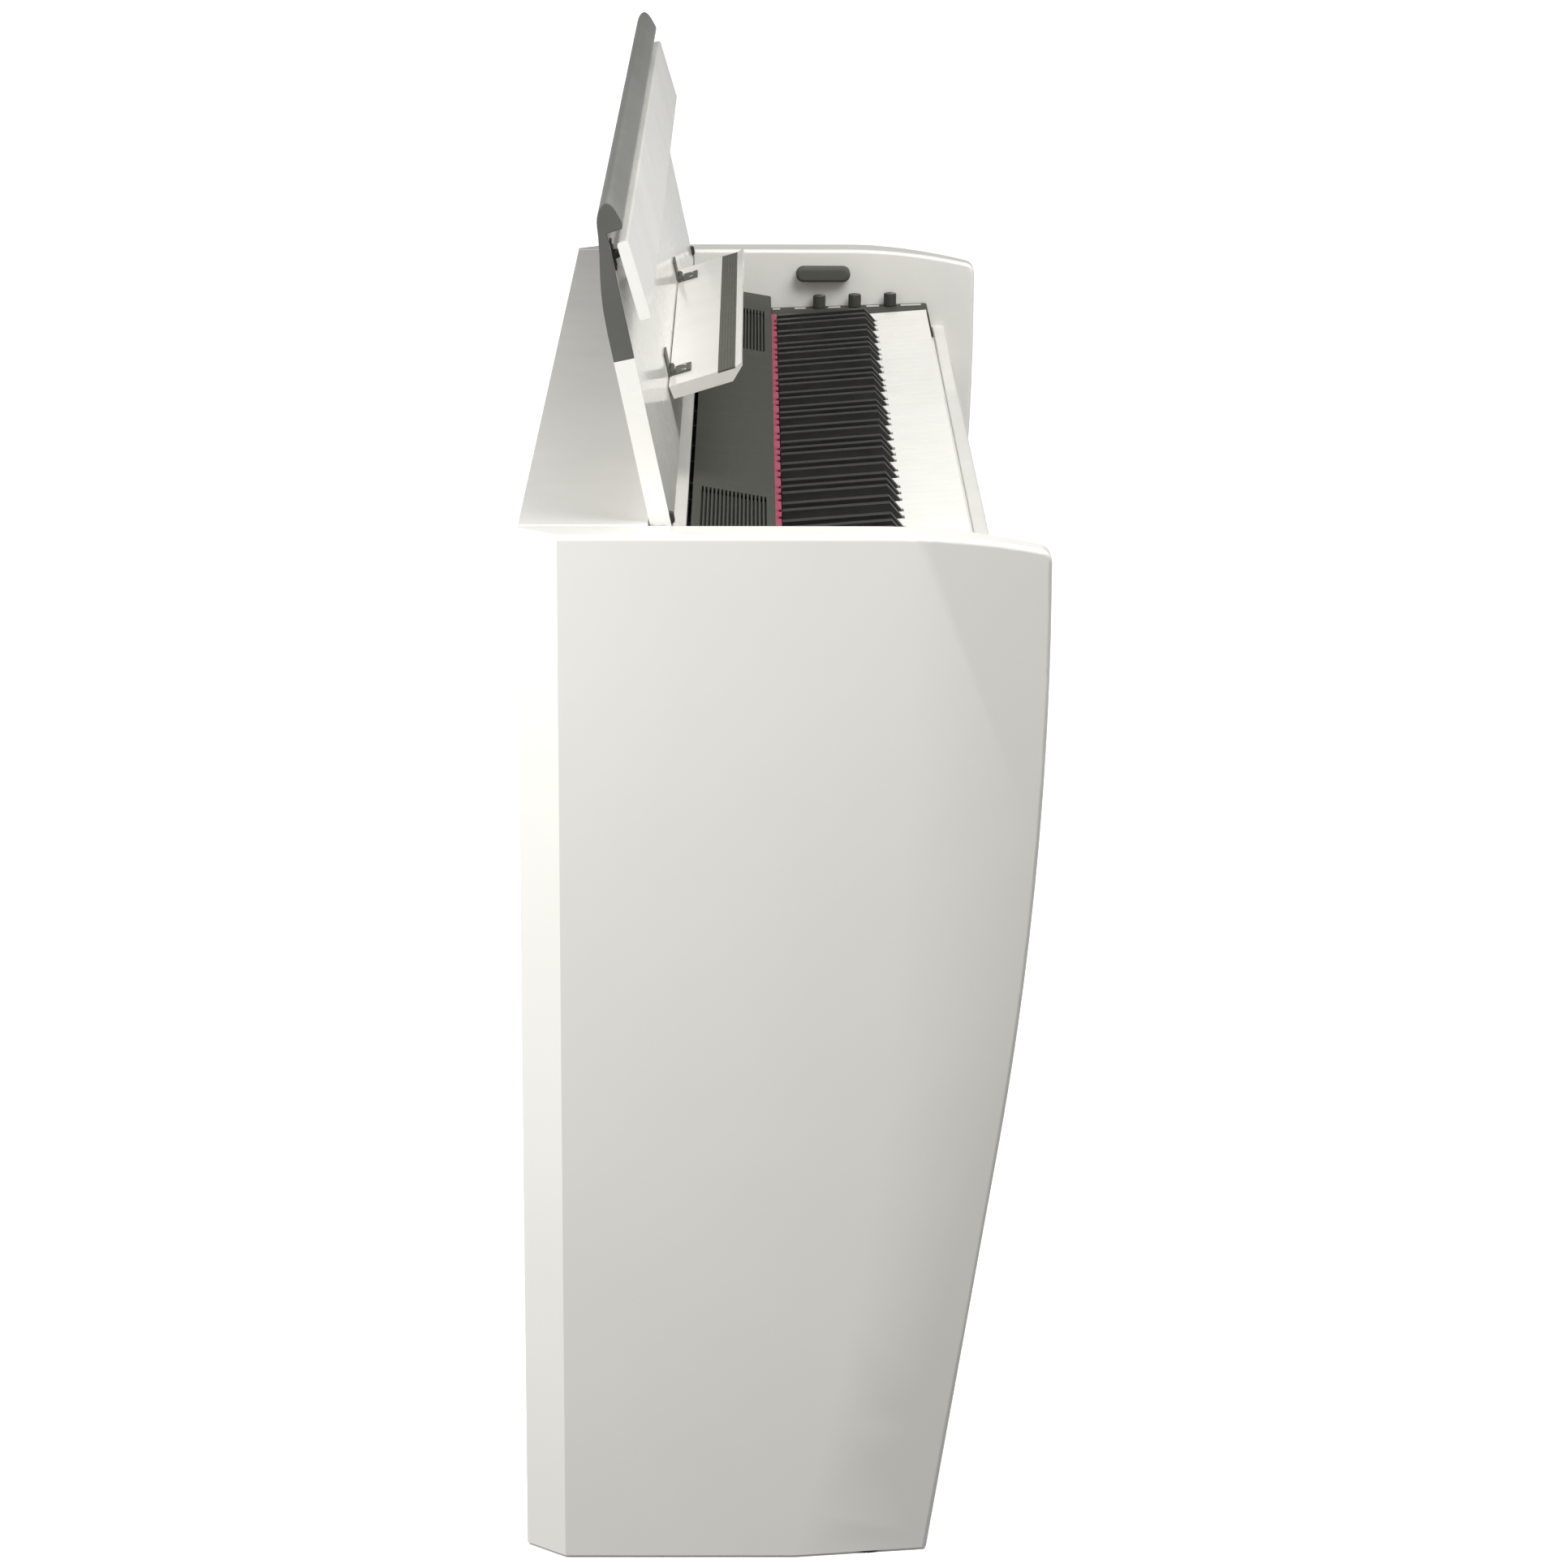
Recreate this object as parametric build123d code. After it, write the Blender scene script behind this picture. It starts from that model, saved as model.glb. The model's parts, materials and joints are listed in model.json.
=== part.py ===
from build123d import *
import os
from math import asin, atan, cos, degrees, radians, sin

# Digital piano on its own stand, lid open and music shelf folded out. Millimetres.
# +X runs along the keyboard to the treble end, -Y faces the player, +Z is up.
# The origin is on the floor, under the middle of the cabinet.
# Most places are given as (r, z): r is the distance in front of the cabinet's rear face.

# ---- overall sizes ----
WIDTH = 1419.0
DEPTH = 388.5
HEIGHT = 790.0
FLOOR_GAP = 1.5  # the panels stand this much clear, on their glides

# ---- side panels ----
PANEL_THICKNESS = 40.0
PANEL_EDGE_ROUND = 4.0
PANEL_NOSE_ROUND = 10.0
PANEL_TOP_CURVE_REACH = 126.0  # length of the falling curve at the front of the top edge
PANEL_TOP_CURVE_RADIUS = 540.0
FRONT_STRAIGHT = 50.0  # plumb stretch of the front edge, measured down from the top
FRONT_BOW_RADIUS = 2650.0
FRONT_LOWER_SLOPE = 0.16  # the front edge falls back by this much per unit of height
REAR_BEVEL_WIDE = 30.0
REAR_BEVEL_IN = 26.0
FRONT_BEVEL_WIDE = 100.0
FRONT_BEVEL_IN = 16.0
FRONT_BEVEL_FLARE = 85.5  # how far the bevel's crease swings back by the floor

# ---- cabinet boards ----
TOP_BOARD_DEPTH = 95.0
BOARD = 18.0
THIN_BOARD = 12.0
TOP_RAIL_DROP = 37.0
HINGE_RAIL_GAP = 5.0  # clear of the top board's front edge
HINGE_RAIL_DEPTH = 20.5
HINGE_RAIL_TOP = HEIGHT - 38.0
KEY_BED_TOP = HEIGHT - 100.0
BACK_PANEL_INSET = 12.0
BACK_PANEL_DROP = 190.0
SLIP_THICKNESS = 12.8
SLIP_TOP = HEIGHT - 75.0
SLIP_SETBACK = 29.1  # front face of the key slip, behind the cabinet's front
SLIP_ROUND = 2.5
SLIP_LEDGE = 4.8  # strip behind the slip that closes the slot in front of the keys
SLIP_LEDGE_DROP = 1.5  # its top, below the top of the slip
LOWER_BOARD_REAR = 70.0
LOWER_BOARD_HEIGHT = 300.0
GLIDE_RADIUS = 11.0
GLIDE_INSET = 45.0  # from the panel's rear and front edges
BOLT_COUNT = 6
BOLT_END = 60.0  # first bolt of the back panel, from the side panel
BOLT_HEAD_RADIUS = 5.0
BOLT_HEAD = 2.5

# ---- keyboard ----
WHITE_KEYS = 52
KEY_PITCH = 23.5
KEY_GAP = 0.6
BLACK_WIDTH = 10.0
BLACK_SIDE_GAP = 0.8
BLACK_TOP_LENGTH = 84.0
BLACK_NOSE_RUN = 10.5
WHITE_SHOWN = 145.0
KEY_SLOPE = 0.0738  # the key tops rise by this much per unit towards the player
KEY_TOP_REAR = HEIGHT - 60.1  # top of a white key where it leaves the felt
BLACK_RISE_REAR = 12.3
BLACK_RISE_FRONT = 12.8
KEY_TO_SLIP = 7.2
KEY_PLATE = 10.0
KEY_LIP = 20.0
KEY_LIP_WALL = 3.0
KEY_LIP_ROUND = 1.6
BLACK_EDGE = 0.7
HEAD_START = 1.5  # a white key widens this much in front of the black keys' feet
KEY_ARM_WIDTH_WHITE = 10.0
KEY_ARM_WIDTH_BLACK = 8.0
KEY_PIVOT_BACK = 66.0  # pivot rod, behind the felt line
KEY_PIVOT_DROP = 15.0  # pivot rod, below the white key tops at the felt line
ROD_RADIUS = 2.0
ROD_CLEARANCE = 0.06
PIVOT_BOSS_RADIUS = 6.0
WEB_THICKNESS = 3.0
TRAY_PLATE = 3.0
TRAY_BACK = 12.0  # tray's rear edge, behind the pivot rod
TRAY_FRONT_GAP = 14.0  # tray's front edge, behind the fronts of the keys
TRAY_SIDE = 4.0  # tray beyond the outermost keys
STOP_RAIL = 24.0
STOP_DEPTH_BELOW = 13.5  # stop rail, below the undersides of the white keys
STOP_FELT = 3.0
STOP_FELT_DEPTH = 20.0
SENSOR_BOARD = (20.0, 70.0)  # r limits, in front of the felt line
CONTACT_STRIP = (34.0, 56.0)
SENSOR_BOARD_THICK = 2.0
CONTACT_TALL = 5.0

# ---- behind the keys ----
FELT_DEPTH = 5.6
FELT_THICKNESS = 5.0
FELT_RISE = 1.2  # underside of the felt, above the white key tops
SPEAKER_PANEL_GAP = 3.5
SPEAKER_PANEL_RISE = 14.1  # top of the panel's front edge, above the key tops
SPEAKER_PANEL_SLOPE = 0.174
SPEAKER_PANEL_WALL = 3.0
SPEAKER_PANEL_FACE = 11.0
GRILLE_MARGIN = 6.0  # solid panel before the first slot and after the last
SLOT_PITCH = 3.1
SLOT_WIDTH = 1.6
GRILLE_INNER = 340.0
GRILLE_LENGTH = 232.0

# ---- end blocks and knobs ----
BLOCK_TOP_REAR = 2.8  # above the white key tops at the felt line
BLOCK_SLOPE = 0.0328
BLOCK_FRONT_GAP = 5.0  # behind the key slip's rear face, at the top
BLOCK_BOTTOM = HEIGHT - 78.0
KNOB_RADIUS = 6.15
KNOB_HEIGHT = 12.0
KNOB_PITCH = 34.7
KNOB_REAR = 47.0  # rear knob's axis, in front of the block's rear end
KNOB_INSET = 10.0  # knob axis, from the side panel
KNOB_GAP = 0.4
SPINDLE_RADIUS = 3.0
KNOB_EDGE = 0.8
BLOCK_LEG = (8.0, 20.0)  # X limits of the bass block's legs, from its inner face
POT_HALF = 8.0
POT_TALL = 7.2
BOARD_BELOW_BLOCK = 9.0
CONTROL_BOARD = 1.8
CONTROL_BOARD_END = 20.0  # board beyond the end knobs

# ---- lid ----
LID_AXIS_FRONT = 10.7  # lid's axis, in front of the top board
LID_AXIS_DROP = 8.0
LID_OPEN_ANGLE = 102.1
LID_END_GAP = 11.5  # lid end to side panel
LID_TOP = 8.0  # upper face above the axis when closed
LID_UNDER = 7.2  # lower face below the axis when closed
LID_NOSE_BACK = 9.7  # tip of the nose, behind the key slip's front face when closed
LID_FALL = 94.0  # length of the falling front stretch, to the tip
NOSE_DEPTH = 28.0
NOSE_HOOK = 21.6  # mouth of the hook under the nose, behind its tip
END_CAP_LENGTH = 114.0
END_CAP_WALL = 3.0
PIVOT_PIN_RADIUS = 4.0
PIVOT_CLEARANCE = 0.06
PIVOT_BUSH_RADIUS = 6.0
PIVOT_BUSH_LENGTH = 18.0
PIVOT_COVER = (4.0, 13.0)  # cover under the bush, in front of the lid's axis
PIVOT_COVER_DROP = 3.0
PIVOT_COVER_TAPER = 1.5
PIVOT_COVER_LENGTH = 10.0
PIVOT_PLATE = 3.0
PIVOT_PLATE_FRONT = 8.0
PIVOT_PLATE_RISE = 5.0

# ---- lid leaf ----
LEAF_LENGTH = 58.5
LEAF_THICKNESS = 8.5
LEAF_TILT = 4.4  # out of parallel with the lid
LEAF_END_GAP = 3.0  # leaf end inside the lid end
LEAF_PIVOT_BACK = 39.0  # leaf's pivot, behind the tip of the nose
LEAF_PIVOT_V = -10.3
LEAF_TOP_ABOVE_PIVOT = 8.5
LEAF_BACK_OFFSET = 2.7  # back face of the leaf, in front of its pivot line
LEAF_PIN_RADIUS = 1.2
LEAF_LUG_RADIUS = 2.4
LEAF_LUG_WIDTH = 8.0
LEAF_ARM_WIDTH = 3.0
LEAF_BASE_LENGTH = 22.0
LEAF_BASE_THICK = 1.4
LEAF_BRACKET_INSET = 12.0

# ---- music shelf ----
SHELF_WIDTH = 606.0
SHELF_DEPTH = 53.2  # hinge axis to the foot of the lip
SHELF_THICKNESS = 10.8
SHELF_RISE_ANGLE = 17.0
SHELF_HEIGHT = 47.0  # shelf hinge, along the lid from the lid's axis
SHELF_REAR_LEAN = 1.2  # the rear face leans off square, to lie along the lid
SHELF_LIP_RUN = 5.9
SHELF_LIP_RISE = 2.0
SHELF_LIP_FACE = 2.6
SHELF_BEVEL_RUN = 11.0
GRIP_STRIP_DEPTH = 14.4
GRIP_STRIP_GAP = 0.1  # grip strip to the foot of the lip
GRIP_STRIP_THICKNESS = 1.2
SHELF_HINGE_X = 242.0
HINGE_LEAF_LENGTH = 34.0
HINGE_LEAF_WIDE = 16.0
HINGE_LEAF_THICK = 1.6
KNUCKLE_RADIUS = 2.5
HINGE_PIN_RADIUS = 1.2
HINGE_STANDOFF = 2.7  # hinge axis above the faces that it joins

# ---- rest pads ----
PAD_LENGTH = 53.0
PAD_TALL = 14.5
PAD_PROUD = 14.0
PAD_MIDDLE_R = 240.0
PAD_TO_LID = 0.4
PAD_ROUND = 1.5

# ---- pedals ----
PEDAL_BOX_WIDTH = 360.0
PEDAL_BOX_HEIGHT = 118.0
PEDAL_BOX_FLOOR = 22.0
PEDAL_BOX_DEPTH = 95.0
BOX_WALL = 12.0
PEDAL_PITCH = 75.0
PEDAL_WIDTH = 26.0
PEDAL_NECK = 16.0
PEDAL_THICK = 9.0
PEDAL_REACH = 82.0
PEDAL_Z = 62.0
PEDAL_AXLE_BACK = 42.0
PEDAL_AXLE_RADIUS = 4.0
PEDAL_TAIL = 34.0
PEDAL_SLOT_TALL = 30.0
PEDAL_SLOT_GAP = 3.0
FOOT_SCREW_RADIUS = 6.0
FOOT_RADIUS = 20.0
FOOT_TALL = 8.0
PEDAL_BOX_ROUND = 5.0
PEDAL_SHOULDER = 30.0  # full width is reached this far in front of the box
PEDAL_NECK_OUT = 6.0
PEDAL_ROUND = 2.5
PEDAL_HUB_RADIUS = 9.0
CHEEK_INSET = 34.0
CHEEK_HALF = 3.0
CHEEK_REACH = 12.0
CHEEK_RISE = 10.0
AXLE_END = 20.0  # bore beyond the cheeks, from the box's inner wall

# ---- inside ----
SPEAKER_X = 420.0
SPEAKER_BACK = 37.0  # speaker's middle, in front of the back panel
SPEAKER_FRAME = (150.0, 64.0)
SPEAKER_HOLE = (130.0, 46.0)
SPEAKER_SHEET = 3.0
CONE_RIM = (134.0, 50.0)
CONE_TOP = (60.0, 30.0)
CONE_TALL = 20.0
MAGNET_RADIUS = 20.0
MAGNET_TALL = 14.0
MAIN_BOARD_HALF = 90.0
MAIN_BOARD_R = (30.0, 96.0)
MAIN_BOARD_THICK = 1.6
POST_RADIUS = 3.0
POST_TALL = 4.0
POST_INSET = 6.0
AMP_X = 140.0
AMP_R = (34.0, 92.0)
AMP_PLATE = 3.0
FIN_COUNT = 10
FIN_PITCH = 10.0
FIN_THICK = 2.0
FIN_TALL = 22.0
FIN_INSET = 2.0
JACK_COUNT = 4
JACK_PITCH = 22.0
JACK_RADIUS = 4.4
JACK_BORE = 3.2
JACK_DEEP = 5.0
CONNECTOR_X = (-300.0, -180.0)
CONNECTOR_R = (60.0, 100.0)
CONNECTOR_PLATE = 2.0
CONNECTOR_END = 16.0  # first jack, from the plate's end
INLET_X = -197.0
INLET_HALF = 8.9
INLET_TALL_HALF = 7.9
INLET_DEEP = 6.0
INLET_BORE = 5.0
SOCKET_FIT = 0.1

# ---- general ----
GAP = 0.4
FACE_GAP = 0.15
CUT_OVER = 1.0  # a cutting piece reaches this far past what it cuts

# ---- derived places ----
HINGE_RAIL_REAR = TOP_BOARD_DEPTH + HINGE_RAIL_GAP
HINGE_RAIL_FRONT = HINGE_RAIL_REAR + HINGE_RAIL_DEPTH
PEDAL_BOX_REAR = LOWER_BOARD_REAR + THIN_BOARD
PEDAL_BOX_FRONT = PEDAL_BOX_REAR + PEDAL_BOX_DEPTH
INNER_X = WIDTH / 2 - PANEL_THICKNESS
SLIP_FRONT = DEPTH - SLIP_SETBACK
SLIP_REAR = SLIP_FRONT - SLIP_THICKNESS
KEY_FRONT = SLIP_REAR - KEY_TO_SLIP
FELT_LINE = KEY_FRONT - WHITE_SHOWN
FELT_REAR = FELT_LINE - FELT_DEPTH
KEY_PIVOT_R = FELT_LINE - KEY_PIVOT_BACK
KEY_PIVOT_Z = KEY_TOP_REAR - KEY_PIVOT_DROP
KEYBOARD_HALF = WHITE_KEYS * KEY_PITCH / 2
LID_AXIS_R = TOP_BOARD_DEPTH + LID_AXIS_FRONT
LID_AXIS_Z = HEIGHT - LID_AXIS_DROP
LID_REACH = SLIP_FRONT - LID_NOSE_BACK - LID_AXIS_R  # axis to the tip of the nose
LID_FLAT = LID_REACH - LID_FALL
NOSE_JOINT = LID_REACH - NOSE_DEPTH
END_CAP_START = LID_REACH - END_CAP_LENGTH
LEAF_PIVOT_U = LID_REACH - LEAF_PIVOT_BACK
LID_HALF = INNER_X - LID_END_GAP
PANEL_REAR = HINGE_RAIL_FRONT + SPEAKER_PANEL_GAP
PANEL_FRONT = FELT_REAR
SLOT_COUNT = int((PANEL_FRONT - PANEL_REAR - 2 * GRILLE_MARGIN) / SLOT_PITCH)
BLOCK_REAR = PANEL_FRONT + GAP
BLOCK_FRONT = SLIP_REAR - BLOCK_FRONT_GAP


# ================= small helpers =================
def y_of(r):
    """Y of a point r in front of the cabinet's rear face."""
    return DEPTH / 2 - r


def outline(points):
    """A face in the Y-Z plane through (r, z) points."""
    flat = [(y_of(r), z) for r, z in points]
    return Plane.YZ * make_face(Polyline(*flat, close=True))


def prism(points, x0, x1):
    """A bar along X with the (r, z) section, from x0 to x1."""
    return extrude(Pos(x0, 0, 0) * outline(points), amount=x1 - x0, dir=(1, 0, 0))


def bar(x0, x1, r0, r1, z0, z1):
    """A square block between the given limits."""
    return Pos((x0 + x1) / 2, y_of((r0 + r1) / 2), (z0 + z1) / 2) * Box(
        abs(x1 - x0), abs(r1 - r0), abs(z1 - z0)
    )


def rod_x(r, z, radius, x0, x1):
    """A round bar along X."""
    return Pos((x0 + x1) / 2, y_of(r), z) * Rot(0, 90, 0) * Cylinder(radius, abs(x1 - x0))


def rod_z(x, r, radius, z0, z1):
    """A round bar along Z."""
    return Pos(x, y_of(r), (z0 + z1) / 2) * Cylinder(radius, z1 - z0)


def rod_y(x, z, radius, r0, r1):
    """A round bar along Y."""
    return Pos(x, y_of((r0 + r1) / 2), z) * Rot(90, 0, 0) * Cylinder(radius, abs(r1 - r0))


def mirrored(shape):
    """The same piece on the other side of the cabinet's middle."""
    return mirror(shape, about=Plane.YZ)


def write(name, *pieces):
    """One file per node; a node may hold several separate solids."""
    solids = []
    for piece in pieces:
        solids.extend(piece.solids())
    shape = solids[0] if len(solids) == 1 else Compound(children=solids)
    export_step(shape, "parts/" + name + ".step")


# ================= cabinet =================
def front_edge(z):
    """r of the side panels' bowed front edge at height z."""
    below = HEIGHT - FRONT_STRAIGHT - z
    if below <= 0:
        return DEPTH
    turn = atan(FRONT_LOWER_SLOPE)
    arc_drop = FRONT_BOW_RADIUS * sin(turn)
    if below <= arc_drop:
        return DEPTH - FRONT_BOW_RADIUS * (1 - cos(asin(below / FRONT_BOW_RADIUS)))
    back = FRONT_BOW_RADIUS * (1 - cos(turn))
    return DEPTH - back - (below - arc_drop) * FRONT_LOWER_SLOPE


def crease(z):
    """r of the front bevel's crease at height z: it swings back towards the floor."""
    span = HEIGHT - FRONT_STRAIGHT
    share = max(0.0, (span - z) / span)
    return DEPTH - FRONT_BEVEL_WIDE - FRONT_BEVEL_FLARE * share**2.4


def panel_face():
    """Side view of a panel: flat top, falling front corner, bowed front edge."""
    top_turn = degrees(asin(PANEL_TOP_CURVE_REACH / PANEL_TOP_CURVE_RADIUS))
    bow_turn = degrees(atan(FRONT_LOWER_SLOPE))
    flat_end = DEPTH - PANEL_TOP_CURVE_REACH
    back = Line((y_of(0), FLOOR_GAP), (y_of(0), HEIGHT))
    top = Line(back @ 1, (y_of(flat_end), HEIGHT))
    fall = JernArc(top @ 1, (-1, 0), PANEL_TOP_CURVE_RADIUS, top_turn)
    front = Line(fall @ 1, (y_of(DEPTH), HEIGHT - FRONT_STRAIGHT))
    bow = JernArc(front @ 1, (0, -1), FRONT_BOW_RADIUS, bow_turn)
    lower = Line(bow @ 1, (y_of(front_edge(FLOOR_GAP)), FLOOR_GAP))
    floor = Line(lower @ 1, back @ 0)
    return Plane.YZ * make_face([back, top, fall, front, bow, lower, floor])


def front_bevel_cut():
    """Wedge that takes the wide front bevel off the right-hand panel's outer face."""
    beyond = 0.15
    outer = WIDTH / 2
    sections = []
    for step in range(9):
        z = -5 + (HEIGHT + 10) * step / 8
        edge, fold = front_edge(z), crease(z)
        run = edge - fold
        near = (outer + FRONT_BEVEL_IN * beyond, y_of(fold - run * beyond))
        far = (outer - FRONT_BEVEL_IN * (1 + beyond), y_of(edge + run * beyond))
        corner = (outer + 30, y_of(edge + run * beyond))
        sections.append(Pos(0, 0, z) * make_face(Polyline(near, far, corner, close=True)))
    return loft(sections)


def rear_bevel_cut():
    """Wedge that takes the narrow rear bevel off the right-hand panel."""
    outer = WIDTH / 2
    extra = 5
    slope = REAR_BEVEL_IN / REAR_BEVEL_WIDE
    near = (outer + extra * slope, y_of(REAR_BEVEL_WIDE + extra))
    far = (outer - REAR_BEVEL_IN - extra * slope, y_of(-extra))
    corner = (outer + 30, y_of(-extra))
    face = Pos(0, 0, -5) * make_face(Polyline(near, far, corner, close=True))
    return extrude(face, amount=HEIGHT + 10, dir=(0, 0, 1))


def side_panel():
    """Right-hand panel."""
    panel = extrude(Pos(INNER_X, 0, 0) * panel_face(), amount=PANEL_THICKNESS, dir=(1, 0, 0))
    nose = panel.edges().filter_by(Axis.X).sort_by(Axis.Y)[:2].sort_by(Axis.Z)[-1]
    panel = fillet(nose, PANEL_NOSE_ROUND)
    panel = panel - rear_bevel_cut() - front_bevel_cut()
    rim = [
        edge
        for edge in panel.edges().filter_by_position(Axis.Z, FLOOR_GAP + 1, HEIGHT + 1)
        if not edge_is_crosswise(edge) and not edge_is_crease(edge)
    ]
    return fillet(rim, PANEL_EDGE_ROUND)


def edge_is_crosswise(edge):
    """Edges that only cross the panel's thickness on a smooth face."""
    box = edge.bounding_box()
    return box.size.X > 1.5 * box.size.Y and box.size.X > 1.5 * box.size.Z


def edge_is_crease(edge):
    """The two creases that run down the panel's outer face."""
    box = edge.bounding_box()
    on_outer = box.min.X > WIDTH / 2 - 0.5
    return on_outer and box.size.Z > HEIGHT / 2


def boards():
    """Flat boards that tie the two side panels together."""
    top = HEIGHT - BOARD
    write("top_board", bar(-INNER_X, INNER_X, 0, TOP_BOARD_DEPTH, top, HEIGHT))
    rail_rear = TOP_BOARD_DEPTH - BOARD
    write("top_rail", bar(-INNER_X, INNER_X, rail_rear, TOP_BOARD_DEPTH, top - TOP_RAIL_DROP, top))
    rail = bar(
        -INNER_X, INNER_X, HINGE_RAIL_REAR, HINGE_RAIL_FRONT, HINGE_RAIL_TOP - BOARD, HINGE_RAIL_TOP
    )
    write("hinge_rail", rail)
    panel_rear = BACK_PANEL_INSET
    write(
        "back_panel",
        bar(-INNER_X, INNER_X, panel_rear, panel_rear + THIN_BOARD, HEIGHT - BACK_PANEL_DROP, top),
    )
    bed_rear = panel_rear + THIN_BOARD
    write("key_bed", bar(-INNER_X, INNER_X, bed_rear, SLIP_REAR, KEY_BED_TOP - BOARD, KEY_BED_TOP))
    slip = bar(-INNER_X, INNER_X, SLIP_REAR, SLIP_FRONT, KEY_BED_TOP - BOARD, SLIP_TOP)
    slip = fillet(slip.edges().filter_by(Axis.X).group_by(Axis.Z)[-1], SLIP_ROUND)
    ledge_top = SLIP_TOP - SLIP_LEDGE_DROP
    half = KEYBOARD_HALF + GAP
    ledge = bar(-half, half, SLIP_REAR - SLIP_LEDGE, SLIP_REAR, KEY_BED_TOP, ledge_top)
    write("key_slip", slip + ledge)
    write(
        "lower_back_board",
        bar(
            -INNER_X,
            INNER_X,
            LOWER_BOARD_REAR,
            LOWER_BOARD_REAR + THIN_BOARD,
            PEDAL_BOX_FLOOR,
            PEDAL_BOX_FLOOR + LOWER_BOARD_HEIGHT,
        ),
    )


def glides():
    """A short nylon glide under each corner of the side panels."""
    pieces = []
    for r in (GLIDE_INSET, front_edge(0) - GLIDE_INSET):
        glide = rod_z(INNER_X + PANEL_THICKNESS / 2, r, GLIDE_RADIUS, 0, FLOOR_GAP)
        pieces += [glide, mirrored(glide)]
    write("floor_glides", *pieces)


def rest_pads():
    """Oval pads that carry the closed lid, one on each side panel."""
    z_top = LID_AXIS_Z - LID_UNDER - PAD_TO_LID
    face = Plane.YZ * SlotOverall(PAD_LENGTH, PAD_TALL)
    place = Pos(INNER_X - PAD_PROUD, y_of(PAD_MIDDLE_R), z_top - PAD_TALL / 2)
    pad = extrude(place * face, amount=PAD_PROUD, dir=(1, 0, 0))
    pad = fillet(pad.edges().group_by(Axis.X)[0], PAD_ROUND)
    write("lid_rest_pads", pad, mirrored(pad))


# ================= keyboard =================
# Position in the octave of the boundary that each black key stands over, and how far
# the key is set off it, so that the tails of the white keys come out evenly wide.
BLACK_KEYS = {
    "c_sharp": (1, -1.9),
    "d_sharp": (2, 1.9),
    "f_sharp": (4, -3.0),
    "g_sharp": (5, 0.0),
    "a_sharp": (6, 3.0),
}
WHITE_NAMES = ["c", "d", "e", "f", "g", "a", "b"]
FIRST_C = 2  # the keyboard starts on A, two white keys below the first C


def boundary_x(index):
    """X of the line left of white key number index."""
    return -KEYBOARD_HALF + index * KEY_PITCH


def black_over(index):
    """Name and X of the black key over a boundary, or None."""
    if index < 1 or index >= WHITE_KEYS:
        return None
    step = (index - FIRST_C) % 7
    for name, (place, offset) in BLACK_KEYS.items():
        if place % 7 == step:
            return name, boundary_x(index) + offset
    return None


def key_top(r):
    """Height of the white key tops at r."""
    return KEY_TOP_REAR + (r - FELT_LINE) * KEY_SLOPE


def pivot_boss(x0, x1):
    """Round rear end of a key, before its bore is cut."""
    return rod_x(KEY_PIVOT_R, KEY_PIVOT_Z, PIVOT_BOSS_RADIUS, x0, x1)


def pivot_bore(x0, x1):
    """The bore that turns on the pivot rod."""
    return rod_x(KEY_PIVOT_R, KEY_PIVOT_Z, ROD_RADIUS + ROD_CLEARANCE, x0 - 1, x1 + 1)


def key_arm(middle, width):
    """The narrow arm from the pivot forward to the felt line, under the speaker panel."""
    x0, x1 = middle - width / 2, middle + width / 2
    front = FELT_LINE + 4
    arm = prism(
        [
            (KEY_PIVOT_R, KEY_PIVOT_Z - PIVOT_BOSS_RADIUS),
            (front, key_top(front) - KEY_PLATE),
            (front, key_top(front) - 1),
            (KEY_PIVOT_R, KEY_PIVOT_Z + PIVOT_BOSS_RADIUS),
        ],
        x0,
        x1,
    )
    return arm + pivot_boss(x0, x1) - pivot_bore(x0, x1)


def tail_limits(index):
    """X limits of a white key's tail, between its black neighbours."""
    left, right = black_over(index), black_over(index + 1)
    x0 = boundary_x(index) + KEY_GAP / 2
    x1 = boundary_x(index + 1) - KEY_GAP / 2
    if left:
        x0 = left[1] + BLACK_WIDTH / 2 + BLACK_SIDE_GAP
    if right:
        x1 = right[1] - BLACK_WIDTH / 2 - BLACK_SIDE_GAP
    return x0, x1


def white_key(index):
    """One white key: tail, full-width head with its front lip, arm and bore."""
    x0, x1 = tail_limits(index)
    tail_end = FELT_LINE + BLACK_TOP_LENGTH + BLACK_NOSE_RUN + HEAD_START
    tail = prism(
        [
            (FELT_LINE, key_top(FELT_LINE) - KEY_PLATE),
            (tail_end + 1, key_top(tail_end + 1) - KEY_PLATE),
            (tail_end + 1, key_top(tail_end + 1)),
            (FELT_LINE, key_top(FELT_LINE)),
        ],
        x0,
        x1,
    )
    lip = KEY_FRONT - KEY_LIP_WALL
    head = prism(
        [
            (tail_end, key_top(tail_end) - KEY_PLATE),
            (lip, key_top(lip) - KEY_PLATE),
            (lip, key_top(KEY_FRONT) - KEY_LIP),
            (KEY_FRONT, key_top(KEY_FRONT) - KEY_LIP),
            (KEY_FRONT, key_top(KEY_FRONT)),
            (tail_end, key_top(tail_end)),
        ],
        boundary_x(index) + KEY_GAP / 2,
        boundary_x(index + 1) - KEY_GAP / 2,
    )
    upper = head.edges().filter_by(Axis.X).group_by(Axis.Y)[0].sort_by(Axis.Z)[-1]
    head = fillet(upper, KEY_LIP_ROUND)
    return head + tail + key_arm((x0 + x1) / 2, KEY_ARM_WIDTH_WHITE)


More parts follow.
